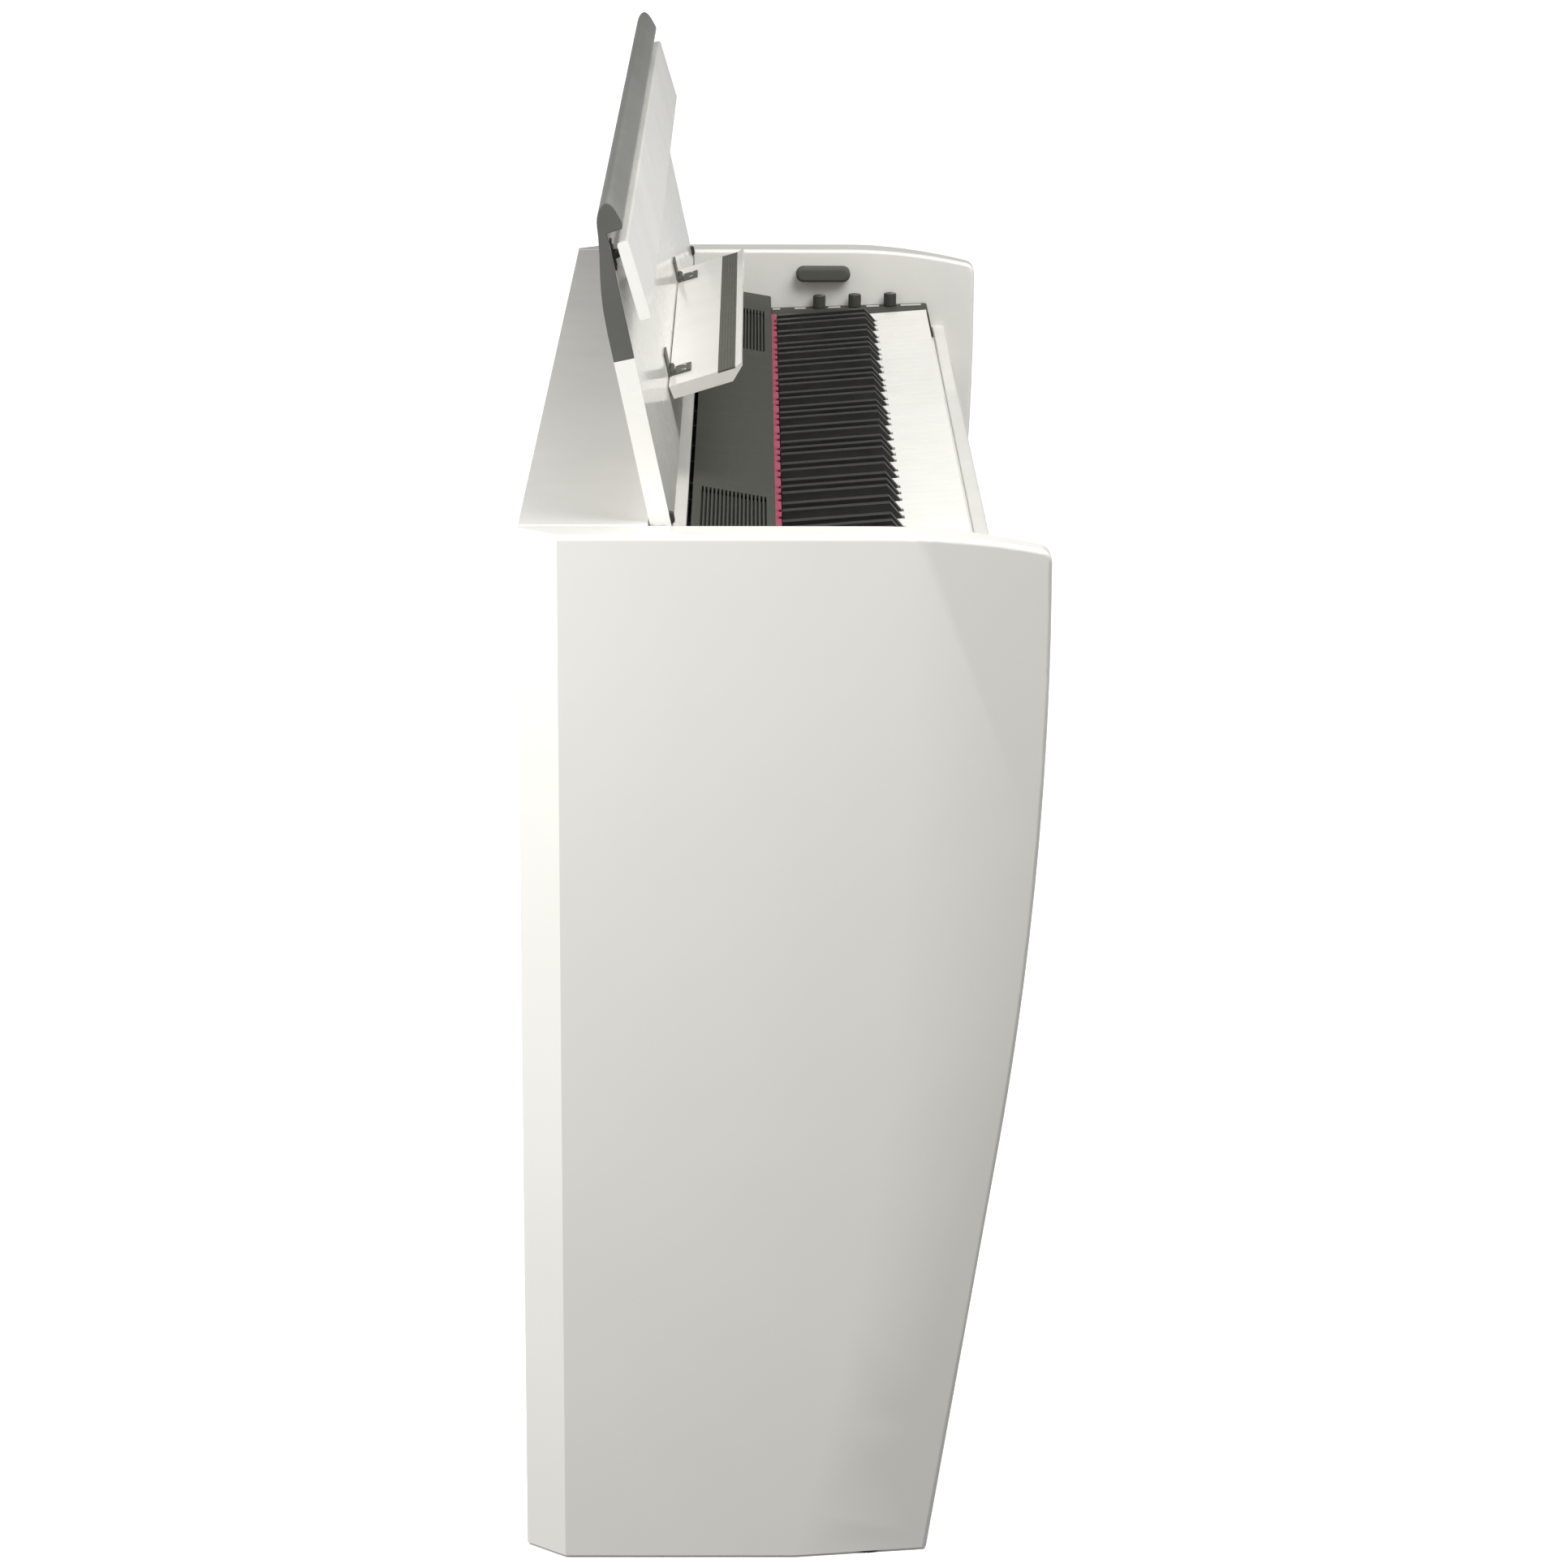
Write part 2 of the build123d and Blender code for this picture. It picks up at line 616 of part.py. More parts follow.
def black_key(x):
    """One black key: a stick with sloping nose and softened top, on its arm."""
    base = -KEY_PLATE
    nose = FELT_LINE + BLACK_TOP_LENGTH
    foot = nose + BLACK_NOSE_RUN
    stick = prism(
        [
            (FELT_LINE, key_top(FELT_LINE) + base),
            (foot, key_top(foot) + base),
            (foot, key_top(foot) + 1),
            (nose, key_top(nose) + BLACK_RISE_FRONT),
            (FELT_LINE, key_top(FELT_LINE) + BLACK_RISE_REAR),
        ],
        x - BLACK_WIDTH / 2,
        x + BLACK_WIDTH / 2,
    )
    sides = stick.edges().filter_by_position(Axis.Z, key_top(FELT_LINE) + 5, HEIGHT)
    stick = chamfer(sides.filter_by(Axis.X, reverse=True).group_by(SortBy.LENGTH)[-1], BLACK_EDGE)
    return stick + key_arm(x, KEY_ARM_WIDTH_BLACK)


def keys():
    """All keys, gathered by their note, so that each note of the octave is one node."""
    groups = {}
    for index in range(WHITE_KEYS):
        name = WHITE_NAMES[(index - FIRST_C) % 7]
        groups.setdefault("keys_" + name, []).append(white_key(index))
        over = black_over(index)
        if over:
            groups.setdefault("keys_" + over[0], []).append(black_key(over[1]))
    for name, pieces in groups.items():
        write(name, *pieces)


def key_frame():
    """Steel tray with the webs that hold the pivot rod and the front stop rail."""
    floor = KEY_BED_TOP
    rear, front = KEY_PIVOT_R - TRAY_BACK, KEY_FRONT - TRAY_FRONT_GAP
    side = KEYBOARD_HALF + TRAY_SIDE
    inner = KEYBOARD_HALF - GAP
    tray = bar(-side, side, rear, front, floor, floor + TRAY_PLATE)
    stop = bar(-inner, inner, front - STOP_RAIL, front, floor + TRAY_PLATE / 2, stop_top())
    frame = tray + stop
    reach = KEY_PIVOT_Z + PIVOT_BOSS_RADIUS + CUT_OVER
    webs = [index for index in range(1, WHITE_KEYS) if not black_over(index)]
    end = KEYBOARD_HALF + TRAY_SIDE / 2
    places = [boundary_x(index) for index in webs] + [-end, end]
    half = WEB_THICKNESS / 2
    web_front = KEY_PIVOT_R + 2 * TRAY_BACK / 3
    for x in places:
        frame += bar(x - half, x + half, rear, web_front, floor + TRAY_PLATE / 2, reach)
    hole = rod_x(KEY_PIVOT_R, KEY_PIVOT_Z, ROD_RADIUS + 0.01, -side - 1, side + 1)
    write("key_frame", frame - hole)
    write("key_pivot_rod", rod_x(KEY_PIVOT_R, KEY_PIVOT_Z, ROD_RADIUS, -side - 1, side + 1))


def stop_top():
    """Top of the rail that carries the key stop felt."""
    return key_top(KEY_FRONT - STOP_RAIL) - KEY_PLATE - STOP_DEPTH_BELOW


def key_inner_parts():
    """Stop felt, contact strip and sensor board under the keys, and the strip behind them."""
    side = KEYBOARD_HALF - GAP
    front = KEY_FRONT - TRAY_FRONT_GAP - 2
    felt = bar(-side, side, front - STOP_FELT_DEPTH, front, stop_top(), stop_top() + STOP_FELT)
    write("key_stop_felt", felt)
    r0, r1 = [FELT_LINE + place for place in SENSOR_BOARD]
    board_low = KEY_BED_TOP + TRAY_PLATE
    board_top = board_low + SENSOR_BOARD_THICK
    write("key_sensor_board", bar(-side, side, r0, r1, board_low, board_top))
    r0, r1 = [FELT_LINE + place for place in CONTACT_STRIP]
    strip = bar(-side + 4, side - 4, r0, r1, board_top, board_top + CONTACT_TALL)
    write("key_contact_strip", fillet(strip.edges().filter_by(Axis.X).group_by(Axis.Z)[-1], 2))
    felt_top = key_top(FELT_LINE) + FELT_RISE + FELT_THICKNESS
    strip = bar(-side, side, FELT_REAR + 0.1, FELT_LINE - 0.5, felt_top - FELT_THICKNESS, felt_top)
    write("felt_strip", strip)


def panel_top(r):
    """Height of the speaker panel's upper face at r."""
    return KEY_TOP_REAR + SPEAKER_PANEL_RISE + (PANEL_FRONT - r) * SPEAKER_PANEL_SLOPE


def speaker_panel():
    """Dark sloping cover behind the keys, with a slotted grille near each end."""
    foot = panel_top(PANEL_FRONT) - SPEAKER_PANEL_FACE
    wall = SPEAKER_PANEL_WALL
    section = [
        (PANEL_REAR, panel_top(PANEL_REAR)),
        (PANEL_FRONT, panel_top(PANEL_FRONT)),
        (PANEL_FRONT, foot),
        (PANEL_FRONT - wall, foot),
        (PANEL_FRONT - wall, panel_top(PANEL_FRONT - wall) - wall),
        (PANEL_REAR + wall, panel_top(PANEL_REAR + wall) - wall),
        (PANEL_REAR + wall, foot + wall),
        (PANEL_REAR, foot + wall),
    ]
    cover = prism(section, -INNER_X, INNER_X)
    top_edge = cover.edges().filter_by(Axis.X).sort_by(Axis.Y)[:2].sort_by(Axis.Z)[-1]
    cover = fillet(top_edge, 1.2)
    middle = (PANEL_REAR + PANEL_FRONT) / 2
    for number in range(SLOT_COUNT):
        r = middle + (number - (SLOT_COUNT - 1) / 2) * SLOT_PITCH
        top = panel_top(r)
        for x0 in (GRILLE_INNER, -GRILLE_INNER - GRILLE_LENGTH):
            half = SLOT_WIDTH / 2
            cover -= bar(x0, x0 + GRILLE_LENGTH, r - half, r + half, top - 3 * wall, top + wall)
    write("speaker_panel", cover)


def end_block(x0, x1):
    """Block that closes the gap between the last key and the side panel."""
    rise = BLOCK_TOP_REAR + KEY_TOP_REAR
    front_top = rise + (BLOCK_FRONT - BLOCK_REAR) * BLOCK_SLOPE
    section = [
        (BLOCK_REAR, BLOCK_BOTTOM),
        (BLOCK_REAR, rise),
        (BLOCK_FRONT, front_top),
        (SLIP_REAR - FACE_GAP, BLOCK_BOTTOM + 3),
        (SLIP_REAR - FACE_GAP, BLOCK_BOTTOM),
    ]
    block = prism(section, x0, x1)
    edge = block.edges().filter_by(Axis.X).sort_by(Axis.Z)[-1]
    return fillet(edge, 2.0)


def block_top(r):
    """Height of the end blocks' upper face at r."""
    return KEY_TOP_REAR + BLOCK_TOP_REAR + (r - BLOCK_REAR) * BLOCK_SLOPE


def end_blocks():
    """Both end blocks; the treble one carries three knobs over a small control board."""
    x0, x1 = KEYBOARD_HALF + 1, INNER_X
    block = end_block(x0, x1)
    leg_in, leg_out = BLOCK_LEG
    half_leg = (leg_out - leg_in) / 2
    for r in (BLOCK_REAR + 2 * half_leg, BLOCK_FRONT - 2 * half_leg):
        leg = bar(x0 + leg_in, x0 + leg_out, r - half_leg, r + half_leg, KEY_BED_TOP, BLOCK_BOTTOM)
        block += leg
    write("end_block_bass", mirrored(block))
    x_knob = INNER_X - KNOB_INSET
    first = BLOCK_REAR + KNOB_REAR
    names = ["knob_volume", "knob_brilliance", "knob_reverb"]
    supports = []
    for number, name in enumerate(names):
        r = first + number * KNOB_PITCH
        bore = SPINDLE_RADIUS + 0.5
        block -= rod_z(x_knob, r, bore, BLOCK_BOTTOM - CUT_OVER, HEIGHT)
        low = block_top(r) + KNOB_GAP + 0.3
        knob = rod_z(x_knob, r, KNOB_RADIUS, low, low + KNOB_HEIGHT)
        knob = chamfer(knob.edges().group_by(Axis.Z)[-1], KNOB_EDGE)
        spindle = rod_z(x_knob, r, SPINDLE_RADIUS, BLOCK_BOTTOM + 2, low + 1)
        write(name, knob + spindle)
        pot = bar(
            x_knob - POT_HALF,
            x_knob + POT_HALF,
            r - POT_HALF,
            r + POT_HALF,
            BLOCK_BOTTOM - POT_TALL,
            BLOCK_BOTTOM,
        )
        supports.append(pot)
    write("control_block", block)
    low = BLOCK_BOTTOM - BOARD_BELOW_BLOCK
    rear = first - CONTROL_BOARD_END
    front = first + 2 * KNOB_PITCH + CONTROL_BOARD_END
    board = bar(x_knob - 14, INNER_X - 1, rear, front, low, low + CONTROL_BOARD)
    write("control_board", board, *supports)


# ================= lid =================
def lid_point(u, v):
    """A point of the closed lid, u in front of its axis and v above it, as (r, z)."""
    return LID_AXIS_R + u, LID_AXIS_Z + v


def opened(shape):
    """Turns a piece of the closed lid about the lid's axis, up to its open place."""
    axis = Axis((0, y_of(LID_AXIS_R), LID_AXIS_Z), (1, 0, 0))
    return shape.rotate(axis, -LID_OPEN_ANGLE)


def lid_face():
    """Whole section of the closed lid: flat board, falling front and hooked nose."""
    radius = (LID_TOP + LID_UNDER) / 2
    middle = (LID_TOP - LID_UNDER) / 2
    tip = LID_REACH
    heel = ThreePointArc((0, -LID_UNDER), (-radius, middle), (0, LID_TOP))
    flat = Line((0, LID_TOP), (LID_FLAT, LID_TOP))
    fall = Spline(
        (LID_FLAT, LID_TOP),
        (tip - 55, LID_TOP - 3.0),
        (tip - 21, LID_TOP - 8.7),
        (tip - 3, LID_TOP - 14.0),
        (tip, LID_TOP - 19.0),
        (tip - 4, LID_TOP - 23.4),
        (tip - 12, LID_TOP - 26.3),
        (tip - 18, LID_TOP - 27.6),
        tangents=[(1, 0), (-1, 0)],
    )
    lip = Line(fall @ 1, (tip - 20.4, LID_TOP - 26.6))
    hook = Line(lip @ 1, (tip - NOSE_HOOK, -LID_UNDER))
    under = Line(hook @ 1, (0, -LID_UNDER))
    return make_face([heel, flat, fall, lip, hook, under])


def lid_bar(start, end, x0, x1):
    """The stretch of the closed lid between two distances from its axis, run along X."""
    plane = Plane(
        origin=(x0, y_of(LID_AXIS_R), LID_AXIS_Z), x_dir=(0, -1, 0), z_dir=(-1, 0, 0)
    )
    whole = extrude(plane * lid_face(), amount=x1 - x0, dir=(1, 0, 0))
    r0, r1 = LID_AXIS_R + start, LID_AXIS_R + end
    return whole & bar(x0 - 1, x1 + 1, r0, r1, LID_AXIS_Z - 60, LID_AXIS_Z + 60)


def lid():
    """Board, nose, end caps and pivot bushes of the lid, all in the open place."""
    inner = LID_HALF - END_CAP_WALL
    heel, tip = -LID_TOP - 2, LID_REACH + 2
    board = lid_bar(heel, NOSE_JOINT, -inner, inner)
    ear = lid_bar(heel, END_CAP_START, inner, LID_HALF)
    board = board + ear + mirrored(ear)
    hole = rod_x(
        LID_AXIS_R, LID_AXIS_Z, PIVOT_BUSH_RADIUS, LID_HALF - PIVOT_BUSH_LENGTH, LID_HALF + 1
    )
    board = board - hole - mirrored(hole)
    write("lid_board", opened(board))
    write("lid_nose", opened(lid_bar(NOSE_JOINT, tip, -inner, inner)))
    cap = lid_bar(END_CAP_START, tip, inner, LID_HALF)
    write("lid_end_caps", opened(cap), opened(mirrored(cap)))
    lid_pivots()


def lid_pivots():
    """Bushes in the lid's ends with their small covers, and the brackets that carry them."""
    start = LID_HALF - PIVOT_BUSH_LENGTH
    bush = rod_x(LID_AXIS_R, LID_AXIS_Z, PIVOT_BUSH_RADIUS, start, LID_HALF)
    rear, front = PIVOT_COVER
    low = -LID_UNDER - PIVOT_COVER_DROP
    cover = prism(
        [
            lid_point(rear, -LID_UNDER),
            lid_point(front, -LID_UNDER),
            lid_point(front - PIVOT_COVER_TAPER, low),
            lid_point(rear + PIVOT_COVER_TAPER, low),
        ],
        LID_HALF - 2 - PIVOT_COVER_LENGTH,
        LID_HALF - 2,
    )
    bore = rod_x(
        LID_AXIS_R, LID_AXIS_Z, PIVOT_PIN_RADIUS + PIVOT_CLEARANCE, start - 1, LID_HALF + 1
    )
    bush = bush - bore
    pieces = [bush, mirrored(bush), cover, mirrored(cover)]
    write("lid_pivot_bushes", *[opened(piece) for piece in pieces])
    plate = bar(
        INNER_X - PIVOT_PLATE,
        INNER_X,
        TOP_BOARD_DEPTH + GAP,
        LID_AXIS_R + PIVOT_PLATE_FRONT,
        HINGE_RAIL_TOP,
        LID_AXIS_Z + PIVOT_PLATE_RISE,
    )
    pin = rod_x(LID_AXIS_R, LID_AXIS_Z, PIVOT_PIN_RADIUS, start + 2, INNER_X - 2)
    write("lid_pivot_brackets", plate + pin, mirrored(plate + pin))


def leaf_frame():
    """Plane at the leaf's pivot: its X runs up the leaf, its Y points away from the lid."""
    r, z = lid_point(LEAF_PIVOT_U, LEAF_PIVOT_V)
    tilt = radians(LEAF_TILT)
    return Plane(
        origin=(0, y_of(r), z), x_dir=(0, -cos(tilt), sin(tilt)), z_dir=(-1, 0, 0)
    )


def lid_leaf():
    """Narrow plate hung under the nose, with its pins, and the brackets that carry it."""
    half = LID_HALF - LEAF_END_GAP
    plane = leaf_frame()
    low = LEAF_TOP_ABOVE_PIVOT - LEAF_LENGTH
    back = LEAF_BACK_OFFSET
    corner_lo = (low, -back - LEAF_THICKNESS)
    corner_hi = (LEAF_TOP_ABOVE_PIVOT, -back)
    face = make_face(
        Polyline(
            corner_lo,
            (corner_hi[0], corner_lo[1]),
            corner_hi,
            (corner_lo[0], corner_hi[1]),
            close=True,
        )
    )
    leaf = extrude(Pos(-half, 0, 0) * (plane * face), amount=2 * half, dir=(1, 0, 0))
    leaf = fillet(leaf.edges().filter_by(Axis.X), 2.2)
    write("lid_leaf", opened(leaf))
    write_leaf_fittings(half)


def write_leaf_fittings(half):
    """Lugs on the leaf's back with their pins, and the brackets on the lid that hold them."""
    r, z = lid_point(LEAF_PIVOT_U, LEAF_PIVOT_V)
    end = half - LEAF_BRACKET_INSET
    lug_half, arm = LEAF_LUG_WIDTH / 2, LEAF_ARM_WIDTH
    reach = lug_half + GAP + arm
    lugs, brackets = [], []
    for x in (-end, 0.0, end):
        foot_face = leaf_frame() * make_face(
            Polyline(
                (-LEAF_LUG_RADIUS, -LEAF_BACK_OFFSET),
                (LEAF_LUG_RADIUS, -LEAF_BACK_OFFSET),
                (LEAF_LUG_RADIUS, 0),
                (-LEAF_LUG_RADIUS, 0),
                close=True,
            )
        )
        foot = extrude(Pos(x - lug_half, 0, 0) * foot_face, amount=LEAF_LUG_WIDTH, dir=(1, 0, 0))
        barrel = rod_x(r, z, LEAF_LUG_RADIUS, x - lug_half, x + lug_half)
        pin = rod_x(r, z, LEAF_PIN_RADIUS, x - reach, x + reach)
        lugs.append(foot + barrel + pin)
        length = LEAF_BASE_LENGTH / 2
        under = LID_AXIS_Z - LID_UNDER
        bracket = bar(x - reach, x + reach, r - length, r + length, under - LEAF_BASE_THICK, under)
        bracket -= rod_x(r, z, LEAF_LUG_RADIUS + GAP, x - lug_half - GAP, x + lug_half + GAP)
        for x0 in (x - reach, x + reach - arm):
            bracket += bar(x0, x0 + arm, r - LEAF_LUG_RADIUS, r + LEAF_LUG_RADIUS, z, under)
            bracket += rod_x(r, z, LEAF_LUG_RADIUS, x0, x0 + arm)
        brackets.append(bracket - rod_x(r, z, LEAF_PIN_RADIUS + 0.06, x - reach - 1, x + reach + 1))
    write("leaf_lugs", *[opened(lug) for lug in lugs])
    write("leaf_brackets", *[opened(bracket) for bracket in brackets])


# ================= music shelf =================
def lid_up():
    """Direction up the open lid's face, as (r, z)."""
    turn = radians(LID_OPEN_ANGLE)
    return cos(turn), sin(turn)


def shelf_axis():
    """The shelf's hinge axis on the open lid, as (r, z)."""
    up_r, up_z = lid_up()
    off = LID_UNDER + HINGE_STANDOFF
    return (
        LID_AXIS_R + up_r * SHELF_HEIGHT + up_z * off,
        LID_AXIS_Z + up_z * SHELF_HEIGHT - up_r * off,
    )


def shelf_plane():
    """Plane at the hinge axis: its X runs out along the shelf, its Y stands up from it."""
    r, z = shelf_axis()
    rise = radians(SHELF_RISE_ANGLE)
    return Plane(
        origin=(0, y_of(r), z), x_dir=(0, -cos(rise), sin(rise)), z_dir=(-1, 0, 0)
    )


def shelf_bar(points, x0, x1):
    """A bar along X whose section is given out along and up from the shelf's axis."""
    face = shelf_plane() * make_face(Polyline(*points, close=True))
    return extrude(Pos(x0, 0, 0) * face, amount=x1 - x0, dir=(1, 0, 0))


def lid_plane():
    """Plane at the hinge axis: its X runs up the lid, its Y points away from the lid."""
    r, z = shelf_axis()
    up_r, up_z = lid_up()
    return Plane(origin=(0, y_of(r), z), x_dir=(0, -up_r, up_z), z_dir=(1, 0, 0))


def music_shelf():
    """Shelf with its bevelled front, the grip strip let into its top, and two butt hinges."""
    half = SHELF_WIDTH / 2
    top = -HINGE_STANDOFF
    low = top - SHELF_THICKNESS
    rear = top + GAP + 0.3
    tip = SHELF_DEPTH + SHELF_LIP_RUN
    rise = top + SHELF_LIP_RISE
    board = shelf_bar(
        [
            (rear, top),
            (SHELF_DEPTH, top),
            (tip, rise),
            (tip, rise - SHELF_LIP_FACE),
            (tip - SHELF_BEVEL_RUN, low),
            (rear + SHELF_REAR_LEAN, low),
        ],
        -half,
        half,
    )
    front = SHELF_DEPTH - GRIP_STRIP_GAP
    back, deep = front - GRIP_STRIP_DEPTH, GRIP_STRIP_THICKNESS
    groove = [(back, top - deep), (front, top - deep), (front, top + 1), (back, top + 1)]
    board = board - shelf_bar(groove, -half - 1, half + 1)
    proud = top + 0.3
    strip = [(back, top - deep), (front, top - deep), (front, proud), (back, proud)]
    write("shelf_grip_strip", shelf_bar(strip, -half, half))
    write("music_shelf", board)
    shelf_hinges()


def lid_leaf_bar(start, x0, x1):
    """A strip of hinge leaf that lies on the open lid's face."""
    top, thick, wide = -HINGE_STANDOFF, HINGE_LEAF_THICK, HINGE_LEAF_WIDE
    corners = [(start, top), (wide, top), (wide, top + thick), (start, top + thick)]
    face = lid_plane() * make_face(Polyline(*corners, close=True))
    return extrude(Pos(x0, 0, 0) * face, amount=x1 - x0, dir=(1, 0, 0))


def shelf_leaf_bar(start, x0, x1):
    """A strip of hinge leaf that lies on the shelf's top."""
    top, thick, wide = -HINGE_STANDOFF, HINGE_LEAF_THICK, HINGE_LEAF_WIDE
    corners = [(start, top), (wide, top), (wide, top + thick), (start, top + thick)]
    return shelf_bar(corners, x0, x1)


def shelf_hinges():
    """Two butt hinges: outer knuckles and one leaf on the lid, the rest on the shelf."""
    r, z = shelf_axis()
    clear = KNUCKLE_RADIUS + GAP
    third = HINGE_LEAF_LENGTH / 3
    fixed, moving = [], []
    for middle in (-SHELF_HINGE_X, SHELF_HINGE_X):
        x0, x1 = middle - HINGE_LEAF_LENGTH / 2, middle + HINGE_LEAF_LENGTH / 2
        a, b = x0 + third, x1 - third
        moving.append(
            shelf_leaf_bar(clear, x0, x1)
            + shelf_leaf_bar(0, a + GAP, b - GAP)
            + rod_x(r, z, KNUCKLE_RADIUS, a + GAP, b - GAP)
            + rod_x(r, z, HINGE_PIN_RADIUS, x0 + 1, x1 - 1)
        )
        leaf = lid_leaf_bar(clear, x0, x1)
        for start, end in ((x0, a), (b, x1)):
            leaf += lid_leaf_bar(0, start, end) + rod_x(r, z, KNUCKLE_RADIUS, start, end)
        fixed.append(leaf - rod_x(r, z, HINGE_PIN_RADIUS + 0.06, x0 - 1, x1 + 1))
    write("shelf_hinge_lid_leaves", *fixed)
    write("shelf_hinge_shelf_leaves", *moving)


# ================= inside =================
def speakers():
    """Two oval drivers on the key bed's rear stretch, facing up."""
    r = BACK_PANEL_INSET + THIN_BOARD + SPEAKER_BACK
    drivers = []
    for x in (-SPEAKER_X, SPEAKER_X):
        middle = Pos(x, y_of(r), KEY_BED_TOP)
        frame = middle * extrude(SlotOverall(*SPEAKER_FRAME), amount=SPEAKER_SHEET)
        frame -= middle * extrude(SlotOverall(*SPEAKER_HOLE), amount=SPEAKER_SHEET + CUT_OVER)
        cone = middle * loft([SlotOverall(*CONE_RIM), Pos(0, 0, CONE_TALL) * SlotOverall(*CONE_TOP)])
        low = KEY_BED_TOP + CONE_TALL - 1
        magnet = rod_z(x, r, MAGNET_RADIUS, low, low + MAGNET_TALL)
        drivers.append(frame + cone + magnet)
    write("speakers", *drivers)


def electronics():
    """Main board, amplifier and the connector plate with its sockets."""
    main_board()
    amplifier()
    connectors()


def main_board():
    """Printed board on four posts."""
    floor = KEY_BED_TOP
    half = MAIN_BOARD_HALF
    rear, front = MAIN_BOARD_R
    top = floor + POST_TALL + MAIN_BOARD_THICK
    board = bar(-half, half, rear, front, floor + POST_TALL, top)
    for x in (POST_INSET - half, half - POST_INSET):
        for r in (rear + POST_INSET, front - POST_INSET):
            board += rod_z(x, r, POST_RADIUS, floor, floor + POST_TALL)
    write("main_board", board)


def amplifier():
    """Finned heat sink that carries the amplifier."""
    floor = KEY_BED_TOP
    rear, front = AMP_R
    x0 = AMP_X
    sink = bar(x0, x0 + FIN_COUNT * FIN_PITCH + FIN_PITCH, rear, front, floor, floor + AMP_PLATE)
    for n in range(FIN_COUNT):
        x = x0 + FIN_INSET * 2 + FIN_PITCH * n
        fin_rear, fin_front = rear + FIN_INSET, front - FIN_INSET
        sink += bar(x, x + FIN_THICK, fin_rear, fin_front, floor + 2, floor + FIN_TALL)
    write("amplifier_board", sink)


def connectors():
    """Plate under the key bed with round jacks and a mains inlet."""
    under = KEY_BED_TOP - BOARD
    x0, x1 = CONNECTOR_X
    rear, front = CONNECTOR_R
    middle = (rear + front) / 2
    plate = bar(x0, x1, rear, front, under - CONNECTOR_PLATE, under)
    sockets = []
    for n in range(JACK_COUNT):
        x = x0 + CONNECTOR_END + JACK_PITCH * n
        plate -= rod_z(x, middle, JACK_RADIUS + SOCKET_FIT, under - 2 * CONNECTOR_PLATE, under + 1)
        socket = rod_z(x, middle, JACK_RADIUS, under - JACK_DEEP, under)
        sockets.append(socket - rod_z(x, middle, JACK_BORE, under - JACK_DEEP - 1, under - 1))
    plate -= inlet_block(SOCKET_FIT, under - 2 * CONNECTOR_PLATE, under + 1)
    write("connector_plate", plate)
    inlet = inlet_block(0, under - INLET_DEEP, under)
    sockets.append(inlet - rod_z(INLET_X, middle, INLET_BORE, under - INLET_DEEP - 1, under - 1.5))
    write("connector_sockets", *sockets)


def inlet_block(ease, z0, z1):
    """Square body of the mains inlet, larger by ease all round."""
    middle = sum(CONNECTOR_R) / 2
    along, across = INLET_HALF + ease, INLET_TALL_HALF + ease
    return bar(INLET_X - along, INLET_X + along, middle - across, middle + across, z0, z1)


# ================= pedals =================
def pedal_box():
    """Hollow box on the stretcher, open through three slots at the front."""
    half = PEDAL_BOX_WIDTH / 2
    rear, front = PEDAL_BOX_REAR, PEDAL_BOX_FRONT
    low, high = PEDAL_BOX_FLOOR, PEDAL_BOX_FLOOR + PEDAL_BOX_HEIGHT
    box = bar(-half, half, rear, front, low, high)
    box = fillet(box.edges().filter_by(Axis.X).group_by(Axis.Y)[0], PEDAL_BOX_ROUND)
    wall = BOX_WALL
    box -= bar(-half + wall, half - wall, rear + wall, front - wall, low + wall, high - wall)
    span = PEDAL_NECK / 2 + PEDAL_SLOT_GAP
    slot_low, slot_high = PEDAL_Z - PEDAL_SLOT_TALL / 2, PEDAL_Z + PEDAL_SLOT_TALL / 2
    for x in pedal_places():
        box -= bar(x - span, x + span, front - wall - 1, front + 1, slot_low, slot_high)
    axle = pedal_axle_r()
    for side in (-1, 1):
        x = side * (half - wall - CHEEK_INSET)
        r0, r1 = axle - CHEEK_REACH, axle + CHEEK_REACH
        box += bar(x - CHEEK_HALF, x + CHEEK_HALF, r0, r1, low + wall, PEDAL_Z + CHEEK_RISE)
    bore_half = half - wall - AXLE_END
    box -= rod_x(axle, PEDAL_Z, PEDAL_AXLE_RADIUS, -bore_half, bore_half)
    foot_r = (rear + front) / 2
    box -= rod_z(0, foot_r, FOOT_SCREW_RADIUS, low - 1, low + wall + 1)
    write("pedal_box", box)
    screw = rod_z(0, foot_r, FOOT_SCREW_RADIUS, FOOT_TALL - 2, low + wall)
    write("support_foot", screw + rod_z(0, foot_r, FOOT_RADIUS, 0, FOOT_TALL))


def pedal_places():
    """X of each pedal, bass side first."""
    return [-PEDAL_PITCH, 0.0, PEDAL_PITCH]


def pedal_axle_r():
    """r of the pedals' axle."""
    return PEDAL_BOX_FRONT - PEDAL_AXLE_BACK


